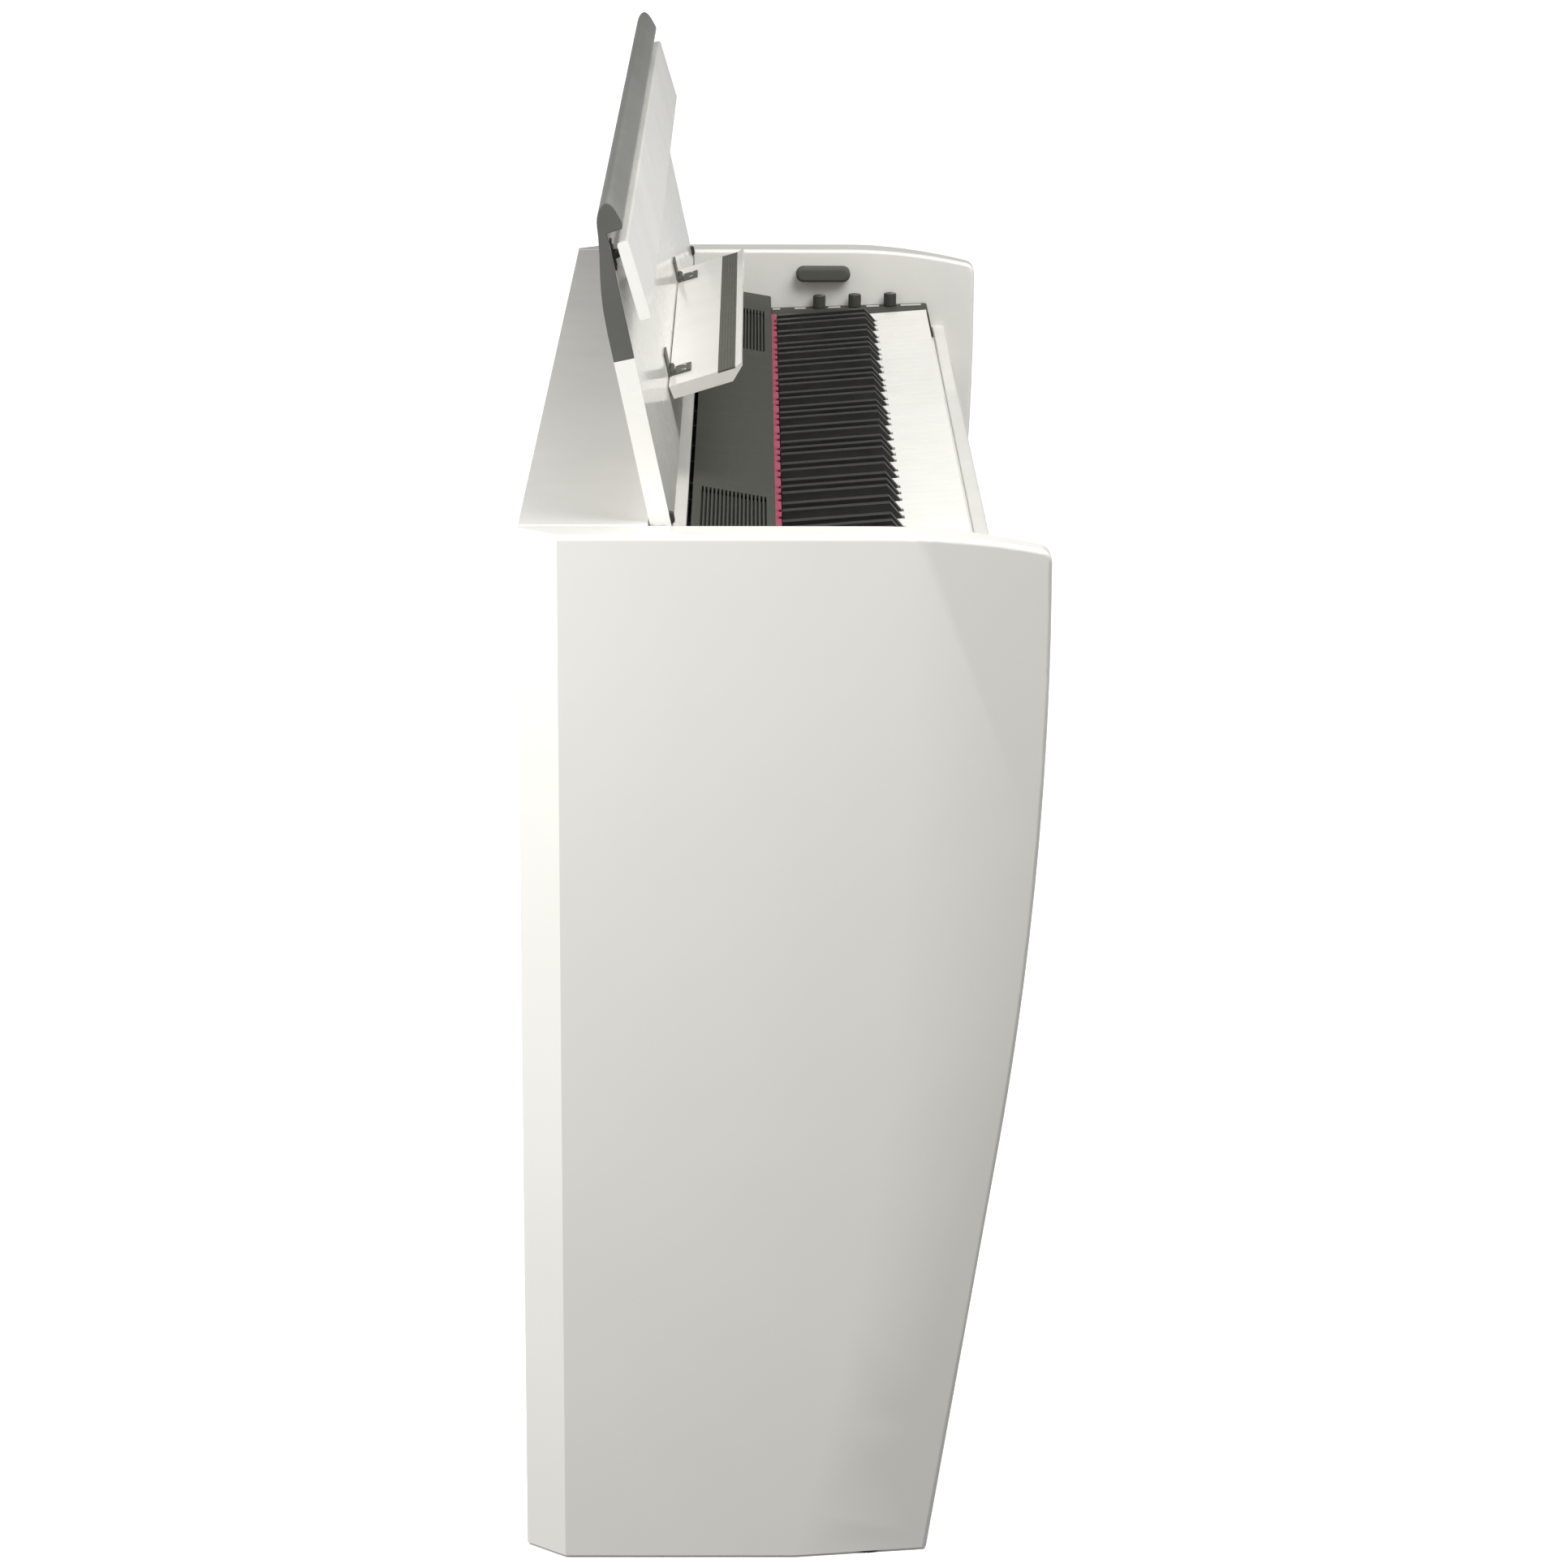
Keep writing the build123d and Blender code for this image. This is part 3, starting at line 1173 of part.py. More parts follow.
def pedal(x):
    """A brass pedal: rounded toe, narrower neck, tail behind the axle."""
    toe = PEDAL_BOX_FRONT + PEDAL_REACH
    axle = pedal_axle_r()
    tail = axle - PEDAL_TAIL
    wide, neck = PEDAL_WIDTH / 2, PEDAL_NECK / 2
    low, high = PEDAL_Z - PEDAL_THICK / 2, PEDAL_Z + PEDAL_THICK / 2
    plate = Pos(x, 0, low) * extrude(pedal_plan(toe, axle, tail, wide, neck), amount=high - low)
    plate = fillet(plate.edges().group_by(Axis.Z)[-1], PEDAL_ROUND)
    hub = rod_x(axle, PEDAL_Z, PEDAL_HUB_RADIUS, x - neck, x + neck)
    bore = rod_x(axle, PEDAL_Z, PEDAL_AXLE_RADIUS + 0.06, x - neck - 1, x + neck + 1)
    return plate + hub - bore


def pedal_plan(toe, axle, tail, wide, neck):
    """Plan of a pedal, about its own middle line."""
    shoulder = PEDAL_BOX_FRONT + PEDAL_SHOULDER
    throat = PEDAL_BOX_FRONT + PEDAL_NECK_OUT
    round_start = toe - wide
    return make_face(
        [
            Line((-neck, y_of(tail)), (neck, y_of(tail))),
            Line((neck, y_of(tail)), (neck, y_of(throat))),
            Spline(
                (neck, y_of(throat)),
                (wide, y_of(shoulder)),
                tangents=[(0, -1), (0, -1)],
            ),
            Line((wide, y_of(shoulder)), (wide, y_of(round_start))),
            ThreePointArc((wide, y_of(round_start)), (0, y_of(toe)), (-wide, y_of(round_start))),
            Line((-wide, y_of(round_start)), (-wide, y_of(shoulder))),
            Spline(
                (-wide, y_of(shoulder)),
                (-neck, y_of(throat)),
                tangents=[(0, 1), (0, 1)],
            ),
            Line((-neck, y_of(throat)), (-neck, y_of(tail))),
        ]
    )


def pedals():
    """Three pedals on one axle, held by two cheeks inside the box."""
    names = ["pedal_soft", "pedal_sostenuto", "pedal_damper"]
    for name, x in zip(names, pedal_places()):
        write(name, pedal(x))
    end = PEDAL_BOX_WIDTH / 2 - BOX_WALL - CHEEK_INSET + CHEEK_HALF
    write("pedal_axle", rod_x(pedal_axle_r(), PEDAL_Z, PEDAL_AXLE_RADIUS, -end, end))


def screws():
    """Cap-head bolts through the back panel into the key bed's edge."""
    bolts = []
    first = BOLT_END - INNER_X
    pitch = -2 * first / (BOLT_COUNT - 1)
    z = KEY_BED_TOP - BOARD / 2
    for n in range(BOLT_COUNT):
        x = first + n * pitch
        bolts.append(rod_y(x, z, BOLT_HEAD_RADIUS, BACK_PANEL_INSET - BOLT_HEAD, BACK_PANEL_INSET))
    write("back_panel_screws", *bolts)


def main():
    os.makedirs("parts", exist_ok=True)
    panel = side_panel()
    write("side_panel_treble", panel)
    write("side_panel_bass", mirrored(panel))
    boards()
    glides()
    rest_pads()
    keys()
    key_frame()
    key_inner_parts()
    speaker_panel()
    end_blocks()
    lid()
    lid_leaf()
    music_shelf()
    speakers()
    electronics()
    pedal_box()
    pedals()
    screws()


main()
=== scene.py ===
"""A white digital piano on its own stand, lid open and music shelf out.

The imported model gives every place. +X runs to the treble end, -Y faces the player and +Z is
up, in metres. Sizes are written in millimetres and turned to metres where a mesh is made. Most
places are (r, z): r is the distance in front of the cabinet's rear face.
"""

import json
import logging
import math
from contextlib import contextmanager
from dataclasses import dataclass
from enum import Enum
from typing import Any, Callable, Iterator, Optional, Sequence

import bmesh
import bpy
from mathutils import Matrix, Vector

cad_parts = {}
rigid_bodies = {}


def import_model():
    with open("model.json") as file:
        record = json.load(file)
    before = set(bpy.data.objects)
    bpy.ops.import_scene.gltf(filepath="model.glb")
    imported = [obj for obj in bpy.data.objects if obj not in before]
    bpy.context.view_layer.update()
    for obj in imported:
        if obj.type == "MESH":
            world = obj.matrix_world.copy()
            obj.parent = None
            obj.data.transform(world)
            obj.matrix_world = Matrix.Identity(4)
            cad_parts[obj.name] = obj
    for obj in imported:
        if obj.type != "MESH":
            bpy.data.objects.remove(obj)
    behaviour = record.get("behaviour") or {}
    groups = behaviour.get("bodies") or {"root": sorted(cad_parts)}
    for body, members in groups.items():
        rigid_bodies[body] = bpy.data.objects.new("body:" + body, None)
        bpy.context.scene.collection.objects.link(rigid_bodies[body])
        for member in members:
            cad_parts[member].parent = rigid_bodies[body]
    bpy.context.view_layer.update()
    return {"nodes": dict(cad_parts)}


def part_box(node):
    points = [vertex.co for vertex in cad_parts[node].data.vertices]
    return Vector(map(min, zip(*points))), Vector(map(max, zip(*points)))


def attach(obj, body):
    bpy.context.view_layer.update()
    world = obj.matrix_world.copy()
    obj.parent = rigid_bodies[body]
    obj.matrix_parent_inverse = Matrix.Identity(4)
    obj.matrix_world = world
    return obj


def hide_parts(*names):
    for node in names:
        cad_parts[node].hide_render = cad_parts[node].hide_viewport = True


MM = 0.001
LOG = logging.getLogger("piano")
Pair = tuple[float, float]
Test = Callable[[Vector], bool]


# ============================== finishes ==============================
class Grain(Enum):
    """How a surface was made, which decides the relief that it shows."""

    SPRAYED = "sprayed"  # the slow swell that a flowed-out lacquer keeps
    MOULDED = "moulded"  # fine even pitting of a spark-eroded mould
    BRUSHED = "brushed"  # hair lines drawn one way by an abrasive belt
    FELTED = "felted"  # matted short fibres
    WOVEN = "woven"  # plain weave, over and under
    CRYSTAL = "crystal"  # angular flowers of a zinc bath
    TRACKS = "tracks"  # straight copper runs under solder mask


def srgb(code: str) -> tuple[float, float, float, float]:
    """Turn an sRGB hex colour to the linear colour that a socket takes.

    Args:
        code: Six hex digits.

    Returns:
        Linear red, green, blue and an alpha of one.
    """
    parts = [int(code[place : place + 2], 16) / 255 for place in (0, 2, 4)]
    low, slope, offset, power = 0.04045, 12.92, 0.055, 2.4
    line = [c / slope if c <= low else ((c + offset) / (1 + offset)) ** power for c in parts]
    return line[0], line[1], line[2], 1.0


def add_node(
    tree: bpy.types.NodeTree,
    kind: str,
    settings: Optional[dict[Any, Any]] = None,
    links: Optional[dict[Any, bpy.types.NodeSocket]] = None,
) -> bpy.types.Node:
    """Add one node with its settings and its incoming links.

    Args:
        tree: The tree that gets the node.
        kind: The node's type name.
        settings: Attribute or input names, or input numbers, with their values.
        links: Input names or numbers, with the sockets that feed them.

    Returns:
        The new node.
    """
    made = tree.nodes.new(kind)
    for key, value in (settings or {}).items():
        if isinstance(key, int) or key in made.inputs:
            made.inputs[key].default_value = value
        else:
            setattr(made, key, value)
    for key, source in (links or {}).items():
        tree.links.new(source, made.inputs[key])
    return made


@dataclass(frozen=True)
class Finish:
    """One real finish, with what it looks like up close.

    Two tones are mixed in soft patches, and the same patches carry the roughness from its
    lower to its upper value, so that no surface is one flat colour.
    """

    name: str
    slot: str
    light: str
    dark: str
    grain: Grain
    grain_mm: float
    relief_mm: float
    rough: Pair
    patch_mm: float = 40.0
    metal: float = 0.0
    coat: float = 0.0
    coat_rough: float = 0.05
    sheen: float = 0.0
    gloss: float = 0.5
    tone_by_grain: float = 0.0

    def material(self) -> bpy.types.Material:
        """Make this finish's material on the first call.

        Returns:
            The material.
        """
        known = bpy.data.materials.get(self.name)
        if known is not None:
            return known
        made = bpy.data.materials.new(self.name)
        made.use_nodes = True
        tree = made.node_tree
        tree.nodes.clear()
        place = add_node(tree, "ShaderNodeTexCoord").outputs["Object"]
        patches = add_node(
            tree,
            "ShaderNodeTexNoise",
            {"Scale": 1 / (self.patch_mm * MM), "Detail": 3.0, "Roughness": 0.55},
            {"Vector": place},
        ).outputs["Fac"]
        height = self.height(tree, place)
        share = add_node(
            tree,
            "ShaderNodeMix",
            {"data_type": "FLOAT", 0: self.tone_by_grain},
            {2: patches, 3: height},
        ).outputs[0]
        tone = add_node(
            tree,
            "ShaderNodeMix",
            {"data_type": "RGBA", 6: srgb(self.dark), 7: srgb(self.light)},
            {0: share},
        ).outputs[2]
        rough = add_node(
            tree,
            "ShaderNodeMapRange",
            {"From Min": 0.3, "From Max": 0.7, "To Min": self.rough[0], "To Max": self.rough[1]},
            {"Value": patches},
        ).outputs["Result"]
        bump = add_node(
            tree,
            "ShaderNodeBump",
            {"Strength": 1.0, "Distance": self.relief_mm * MM},
            {"Height": height},
        ).outputs["Normal"]
        settings = {
            "Metallic": self.metal,
            "Specular IOR Level": self.gloss,
            "Coat Weight": self.coat,
            "Coat Roughness": self.coat_rough,
            "Sheen Weight": self.sheen,
            "Sheen Roughness": 0.4,
        }
        shader = add_node(
            tree,
            "ShaderNodeBsdfPrincipled",
            settings,
            {"Base Color": tone, "Roughness": rough, "Normal": bump},
        )
        add_node(tree, "ShaderNodeOutputMaterial", None, {"Surface": shader.outputs["BSDF"]})
        return made

    def height(
        self, tree: bpy.types.NodeTree, place: bpy.types.NodeSocket
    ) -> bpy.types.NodeSocket:
        """Build the relief that this finish's making leaves.

        Args:
            tree: The material's tree.
            place: Object coordinates.

        Returns:
            A socket from about 0 to 1.
        """
        scale = 1 / (self.grain_mm * MM)
        if self.grain is Grain.WOVEN:
            threads = {}
            for number, way in enumerate("XY"):
                settings = {"Scale": scale, "bands_direction": way}
                wave = add_node(tree, "ShaderNodeTexWave", settings, {0: place})
                threads[number] = wave.outputs["Fac"]
            return add_node(
                tree, "ShaderNodeMath", {"operation": "MULTIPLY"}, threads
            ).outputs[0]
        if self.grain in (Grain.CRYSTAL, Grain.MOULDED):
            metric = "MANHATTAN" if self.grain is Grain.CRYSTAL else "EUCLIDEAN"
            cells = add_node(
                tree, "ShaderNodeTexVoronoi", {"Scale": scale, "distance": metric}, {0: place}
            )
            if self.grain is Grain.MOULDED:
                return cells.outputs["Distance"]
            return add_node(
                tree, "ShaderNodeSeparateColor", None, {0: cells.outputs["Color"]}
            ).outputs[0]
        if self.grain is Grain.TRACKS:
            runs = {"Scale": scale, "Mortar Size": 0.12, "Brick Width": 3.0, "Row Height": 1.0}
            return add_node(tree, "ShaderNodeTexBrick", runs, {0: place}).outputs["Fac"]
        stretch = {
            Grain.BRUSHED: (0.02, 1.0, 1.0),
            Grain.FELTED: (1.0, 0.5, 1.0),
            Grain.SPRAYED: (1.0, 1.0, 1.0),
        }[self.grain]
        turned = add_node(tree, "ShaderNodeMapping", {"Scale": stretch}, {"Vector": place})
        detail = {Grain.BRUSHED: 4.0, Grain.FELTED: 6.0, Grain.SPRAYED: 1.0}[self.grain]
        return add_node(
            tree,
            "ShaderNodeTexNoise",
            {"Scale": scale, "Detail": detail, "Roughness": 0.6},
            {"Vector": turned.outputs[0]},
        ).outputs["Fac"]


# Polyester lacquer, sprayed, flatted and polished: a clear gloss over white, with a swell of
# a few millimetres that only the reflections show.
WHITE_LACQUER = Finish(
    "white_polyester_lacquer", "white_lacquer", "F1F0EB", "ECEAE4", Grain.SPRAYED, 9.0, 0.0002,
    (0.2, 0.26), patch_mm=120.0, coat=0.5, coat_rough=0.06,
)
# The lid's lacquer is buffed once more, so that it mirrors what stands in front of it.
LID_LACQUER = Finish(
    "white_buffed_lacquer", "white_lacquer", "F2F1EC", "EDEBE5", Grain.SPRAYED, 14.0, 0.00005,
    (0.24, 0.3), patch_mm=150.0, coat=0.6, coat_rough=0.07, gloss=0.4,
)
# Melamine-faced board: a pressed paper film, satin, with a fine pebble from the press plate.
WHITE_LAMINATE = Finish(
    "white_melamine_board", "white_laminate", "EFEEE9", "E5E3DC", Grain.MOULDED, 0.9, 0.02,
    (0.4, 0.5), patch_mm=60.0,
)
# ABS moulded in a spark-eroded tool: warm dark grey, even matt.
DARK_ABS = Finish(
    "dark_grey_moulded_abs", "dark_plastic", "474841", "3D3E37", Grain.MOULDED, 0.7, 0.0006,
    (0.55, 0.65), patch_mm=35.0, gloss=0.2, tone_by_grain=0.2,
)
# The end caps' ABS, a shade lighter and brushed by hands at the corners.
CAP_ABS = Finish(
    "grey_moulded_cap_abs", "dark_plastic", "62625F", "565653", Grain.MOULDED, 0.8, 0.008,
    (0.5, 0.6), patch_mm=25.0, gloss=0.3, tone_by_grain=0.2,
)
# Soft rubber, moulded and powdered: nearly no gloss, a little lighter where it is rubbed.
DARK_RUBBER = Finish(
    "dark_grey_rubber", "dark_rubber", "5A5B54", "4E4F48", Grain.MOULDED, 0.5, 0.02,
    (0.68, 0.8), patch_mm=18.0, gloss=0.3, tone_by_grain=0.3,
)
# Extruded aluminium, belt-brushed along its length and clear anodised.
SATIN_ALUMINIUM = Finish(
    "satin_anodised_aluminium", "satin_aluminium", "C2C3BE", "B2B3AD", Grain.BRUSHED, 0.35,
    0.003, (0.36, 0.42), patch_mm=90.0, metal=1.0, tone_by_grain=0.3,
)
# Steel hinge stock, blackened and oiled.
HINGE_STEEL = Finish(
    "blackened_hinge_steel", "dark_hinge_steel", "707069", "5C5C58", Grain.BRUSHED, 0.5, 0.004,
    (0.4, 0.5), patch_mm=12.0, metal=0.7, tone_by_grain=0.3,
)
# Moulded nylon: slightly waxy black.
BLACK_NYLON = Finish(
    "black_moulded_nylon", "black_nylon", "363633", "2C2C2A", Grain.MOULDED, 0.6, 0.02,
    (0.4, 0.5), patch_mm=10.0,
)
# Natural nylon of the pivot bushes: waxy, off-white.
PALE_NYLON = Finish(
    "natural_moulded_nylon", "white_laminate", "D9D7CE", "CBC9BF", Grain.MOULDED, 0.6, 0.01,
    (0.35, 0.45), patch_mm=10.0,
)
# Black ABS of knobs and sockets.
BLACK_ABS = Finish(
    "black_moulded_abs", "black_plastic", "4A4B45", "3E3F39", Grain.MOULDED, 0.5, 0.02,
    (0.44, 0.54), patch_mm=8.0,
)
# Acrylic key top: cast white resin, polished, faintly warm.
WHITE_KEYTOP = Finish(
    "white_acrylic_keytop", "white_keytop", "F9F8F3", "F5F3EC", Grain.SPRAYED, 12.0, 0.00006,
    (0.3, 0.36), patch_mm=50.0, coat=0.3, coat_rough=0.12,
)
# Black key: moulded phenolic with a wood-like hair along its length.
BLACK_KEYTOP = Finish(
    "black_phenolic_keytop", "black_keytop", "262624", "1B1B19", Grain.FELTED, 1.2, 0.004,
    (0.36, 0.46), patch_mm=20.0, gloss=0.4,
)
# Rolled steel from a zinc bath: pale crystals a few millimetres across.
ZINC_STEEL = Finish(
    "zinc_plated_steel", "zinc_steel", "C6C9CB", "AEB2B5", Grain.CRYSTAL, 5.0, 0.004,
    (0.34, 0.46), patch_mm=25.0, metal=1.0, tone_by_grain=0.7,
)
# Turned steel, nickel plated.
BRIGHT_STEEL = Finish(
    "bright_nickel_steel", "bright_steel", "D5D5D1", "C6C6C2", Grain.BRUSHED, 0.4, 0.003,
    (0.16, 0.24), patch_mm=15.0, metal=1.0,
)
# Pressed wool felt: matted fibres that catch light at the edges.
GREY_FELT = Finish(
    "grey_wool_felt", "grey_felt", "8D8C88", "6F6E6A", Grain.FELTED, 0.7, 0.25,
    (0.9, 0.98), patch_mm=9.0, sheen=0.5, tone_by_grain=0.5,
)
# Dyed wool felt behind the keys.
CRIMSON_FELT = Finish(
    "crimson_wool_felt", "crimson_felt", "BC4463", "8E2746", Grain.FELTED, 0.8, 0.25,
    (0.9, 0.98), patch_mm=6.0, sheen=0.4, tone_by_grain=0.5,
)
# Open polyester cloth stretched under the grilles.
GRILLE_CLOTH = Finish(
    "dark_polyester_grille_cloth", "dark_plastic", "5A5B54", "45463F", Grain.WOVEN, 1.4, 0.2,
    (0.8, 0.9), patch_mm=20.0, tone_by_grain=0.8,
)
# Glass-epoxy board: green solder mask over copper runs.
CIRCUIT_BOARD = Finish(
    "green_solder_mask_board", "circuit_board", "2C7A4B", "1B5434", Grain.TRACKS, 2.2, 0.05,
    (0.3, 0.4), patch_mm=15.0, tone_by_grain=0.8,
)
# Cast brass, buffed bright, dulled a little where feet rest.
POLISHED_BRASS = Finish(
    "polished_brass", "polished_brass", "E8C27A", "D2A552", Grain.BRUSHED, 0.6, 0.004,
    (0.12, 0.24), patch_mm=14.0, metal=1.0,
)
# Screen-printed ink patches on the control block.
PRINTED_INK = Finish(
    "pale_screen_ink", "white_laminate", "D0D0C8", "BEBEB6", Grain.MOULDED, 0.4, 0.01,
    (0.5, 0.6), patch_mm=4.0, tone_by_grain=0.5,
)
# The middle knob's paint-filled pointer.
RED_PAINT = Finish(
    "red_fill_paint", "crimson_felt", "C22B3B", "A82433", Grain.SPRAYED, 2.0, 0.01,
    (0.35, 0.45), patch_mm=3.0,
)
# The same pointer on the other knobs.
PALE_PAINT = Finish(
    "pale_fill_paint", "white_laminate", "D6D6D0", "C4C4BD", Grain.SPRAYED, 2.0, 0.01,
    (0.35, 0.45), patch_mm=3.0,
)


# ============================== the bench ==============================
def drop_selection() -> None:
    """Leave nothing selected, because an operator acts on all that is selected."""
    for item in bpy.context.view_layer.objects:
        item.select_set(False)


def take(item: bpy.types.Object) -> None:
    """Make one object the only one selected, and the active one.

    Args:
        item: The object.
    """
    drop_selection()
    item.select_set(True)
    bpy.context.view_layer.objects.active = item


@contextmanager
def at_work(item: bpy.types.Object) -> Iterator[None]:
    """Keep one object in edit mode, with nothing of it selected at the start.

    Args:
        item: The object to work on.

    Returns:
        The context in which it is in edit mode.
    """
    take(item)
    bpy.ops.object.mode_set(mode="EDIT")
    bpy.ops.mesh.select_all(action="DESELECT")
    try:
        yield
    finally:
        bpy.ops.object.mode_set(mode="OBJECT")


def pick(item: bpy.types.Object, kind: str, test: Test) -> None:
    """Select in edit mode the elements whose every corner passes a test.

    Args:
        item: The object in edit mode.
        kind: VERT, EDGE or FACE.
        test: Says of a corner's place whether it counts.
    """
    bpy.ops.mesh.select_mode(type=kind)
    bpy.ops.mesh.select_all(action="DESELECT")
    mesh = bmesh.from_edit_mesh(item.data)
    if kind == "VERT":
        for corner in mesh.verts:
            corner.select_set(test(corner.co))
    else:
        for part in mesh.edges if kind == "EDGE" else mesh.faces:
            if all(test(corner.co) for corner in part.verts):
                part.select_set(True)
    bmesh.update_edit_mesh(item.data)


def near(a: float, b: float, slack: float = 0.02 * MM) -> bool:
    """Say whether two lengths are the same within the slack."""
    return abs(a - b) < slack


def shift(vector: Sequence[float]) -> None:
    """Move what is selected in edit mode, in metres."""
    bpy.ops.transform.translate(value=tuple(vector))


def draw_out(vector: Sequence[float]) -> None:
    """Extrude what is selected in edit mode, in metres."""
    bpy.ops.mesh.extrude_region_move(TRANSFORM_OT_translate={"value": tuple(vector)})


def settle(item: bpy.types.Object) -> bpy.types.Object:
    """Put an object's place, turn and size into its mesh.

    Args:
        item: The object.

    Returns:
        The same object, at the origin.
    """
    take(item)
    bpy.ops.object.transform_apply(location=True, rotation=True, scale=True)
    return item


def block(low: Vector, high: Vector) -> bpy.types.Object:
    """Start a piece from a cube that fills the room between two corners.

    Args:
        low: Its lowest corner, in metres.
        high: Its highest corner.

    Returns:
        The new shape.
    """
    drop_selection()
    bpy.ops.mesh.primitive_cube_add(size=1.0, location=(low + high) / 2)
    made = bpy.context.object
    made.scale = high - low
    return settle(made)


def rod(centre: Vector, radius: float, length: float, axis: str, sides: int) -> bpy.types.Object:
    """Start a piece from a cylinder.

    Args:
        centre: The middle of the rod.
        radius: In metres.
        length: In metres.
        axis: X, Y or Z.
        sides: Number of flats round it.

    Returns:
        The new object.
    """
    turns = {"X": (0, math.pi / 2, 0), "Y": (math.pi / 2, 0, 0), "Z": (0, 0, 0)}
    drop_selection()
    bpy.ops.mesh.primitive_cylinder_add(
        vertices=sides, radius=radius, depth=length, location=centre, rotation=turns[axis]
    )
    return settle(bpy.context.object)


def section_bar(line: Sequence[Pair], x0: float, x1: float) -> bpy.types.Object:
    """Run a closed section along X, by drawing one edge of a plane round it.

    Args:
        line: The section's (y, z) corners in order, in metres.
        x0: Where the bar starts.
        x1: Where it ends.

    Returns:
        A closed bar.
    """
    (ya, za), (yb, zb) = line[0], line[1]
    drop_selection()
    bpy.ops.mesh.primitive_plane_add(
        size=1.0,
        location=((x0 + x1) / 2, (ya + yb) / 2, (za + zb) / 2),
        rotation=(math.atan2(zb - za, yb - ya), 0, 0),
    )
    made = bpy.context.object
    made.scale = (x1 - x0, math.hypot(yb - ya, zb - za), 1)
    settle(made)
    with at_work(made):
        pick(made, "EDGE", lambda c: near(c.y, yb) and near(c.z, zb))
        for (y, z), (to_y, to_z) in zip(line[1:], list(line[2:]) + [line[0]]):
            draw_out((0, to_y - y, to_z - z))
        bpy.ops.mesh.select_all(action="SELECT")
        bpy.ops.mesh.remove_doubles(threshold=0.005 * MM)
        for end in (x0, x1):
            pick(made, "EDGE", lambda c, end=end: near(c.x, end))
            bpy.ops.mesh.edge_face_add()
        bpy.ops.mesh.select_all(action="SELECT")
        bpy.ops.mesh.normals_make_consistent(inside=False)
    return made


def with_modifier(item: bpy.types.Object, kind: str, **settings: Any) -> bpy.types.Object:
    """Add one modifier, set it and apply it.

    Args:
        item: The piece.
        kind: The modifier's type name.
        **settings: Its settings.

    Returns:
        The same piece.
    """
    take(item)
    bpy.ops.object.modifier_add(type=kind)
    added = item.modifiers[-1]
    for key, value in settings.items():
        setattr(added, key, value)
    bpy.ops.object.modifier_apply(modifier=added.name)
    return item


def ease(
    item: bpy.types.Object, width: float, steps: int = 2, angle: float = 32.0
) -> bpy.types.Object:
    """Round every sharp edge a little and shade the rest smooth.

    Args:
        item: The piece.
        width: The rounding, in millimetres.
        steps: Facets in each rounded edge.
        angle: Edges that turn more than this, in degrees, count as sharp.

    Returns:
        The same piece.
    """
    if width:
        limit = math.radians(angle)
        with_modifier(item, "BEVEL", width=width * MM, segments=steps, angle_limit=limit)
    take(item)
    bpy.ops.object.shade_smooth_by_angle(angle=math.radians(angle + 3))
    return with_modifier(item, "WEIGHTED_NORMAL", keep_sharp=True, weight=80)


def cut(item: bpy.types.Object, cutter: bpy.types.Object) -> None:
    """Take one shape away from a piece, and remove the shape."""
    with_modifier(item, "BOOLEAN", object=cutter, operation="DIFFERENCE", solver="EXACT")
    bpy.data.objects.remove(cutter)


def joined(items: Sequence[bpy.types.Object]) -> bpy.types.Object:
    """Make several shapes one object.

    Args:
        items: The shapes.

    Returns:
        The object that holds them all.
    """
    take(items[0])
    for item in items:
        item.select_set(True)
    if len(items) > 1:
        bpy.ops.object.join()
    return bpy.context.object


def twin(item: bpy.types.Object) -> bpy.types.Object:
    """Copy a shape, with its own mesh.

    Args:
        item: The shape to copy.

    Returns:
        The copy, in the same place.
    """
    made = item.copy()
    made.data = item.data.copy()
    bpy.context.scene.collection.objects.link(made)
    return made


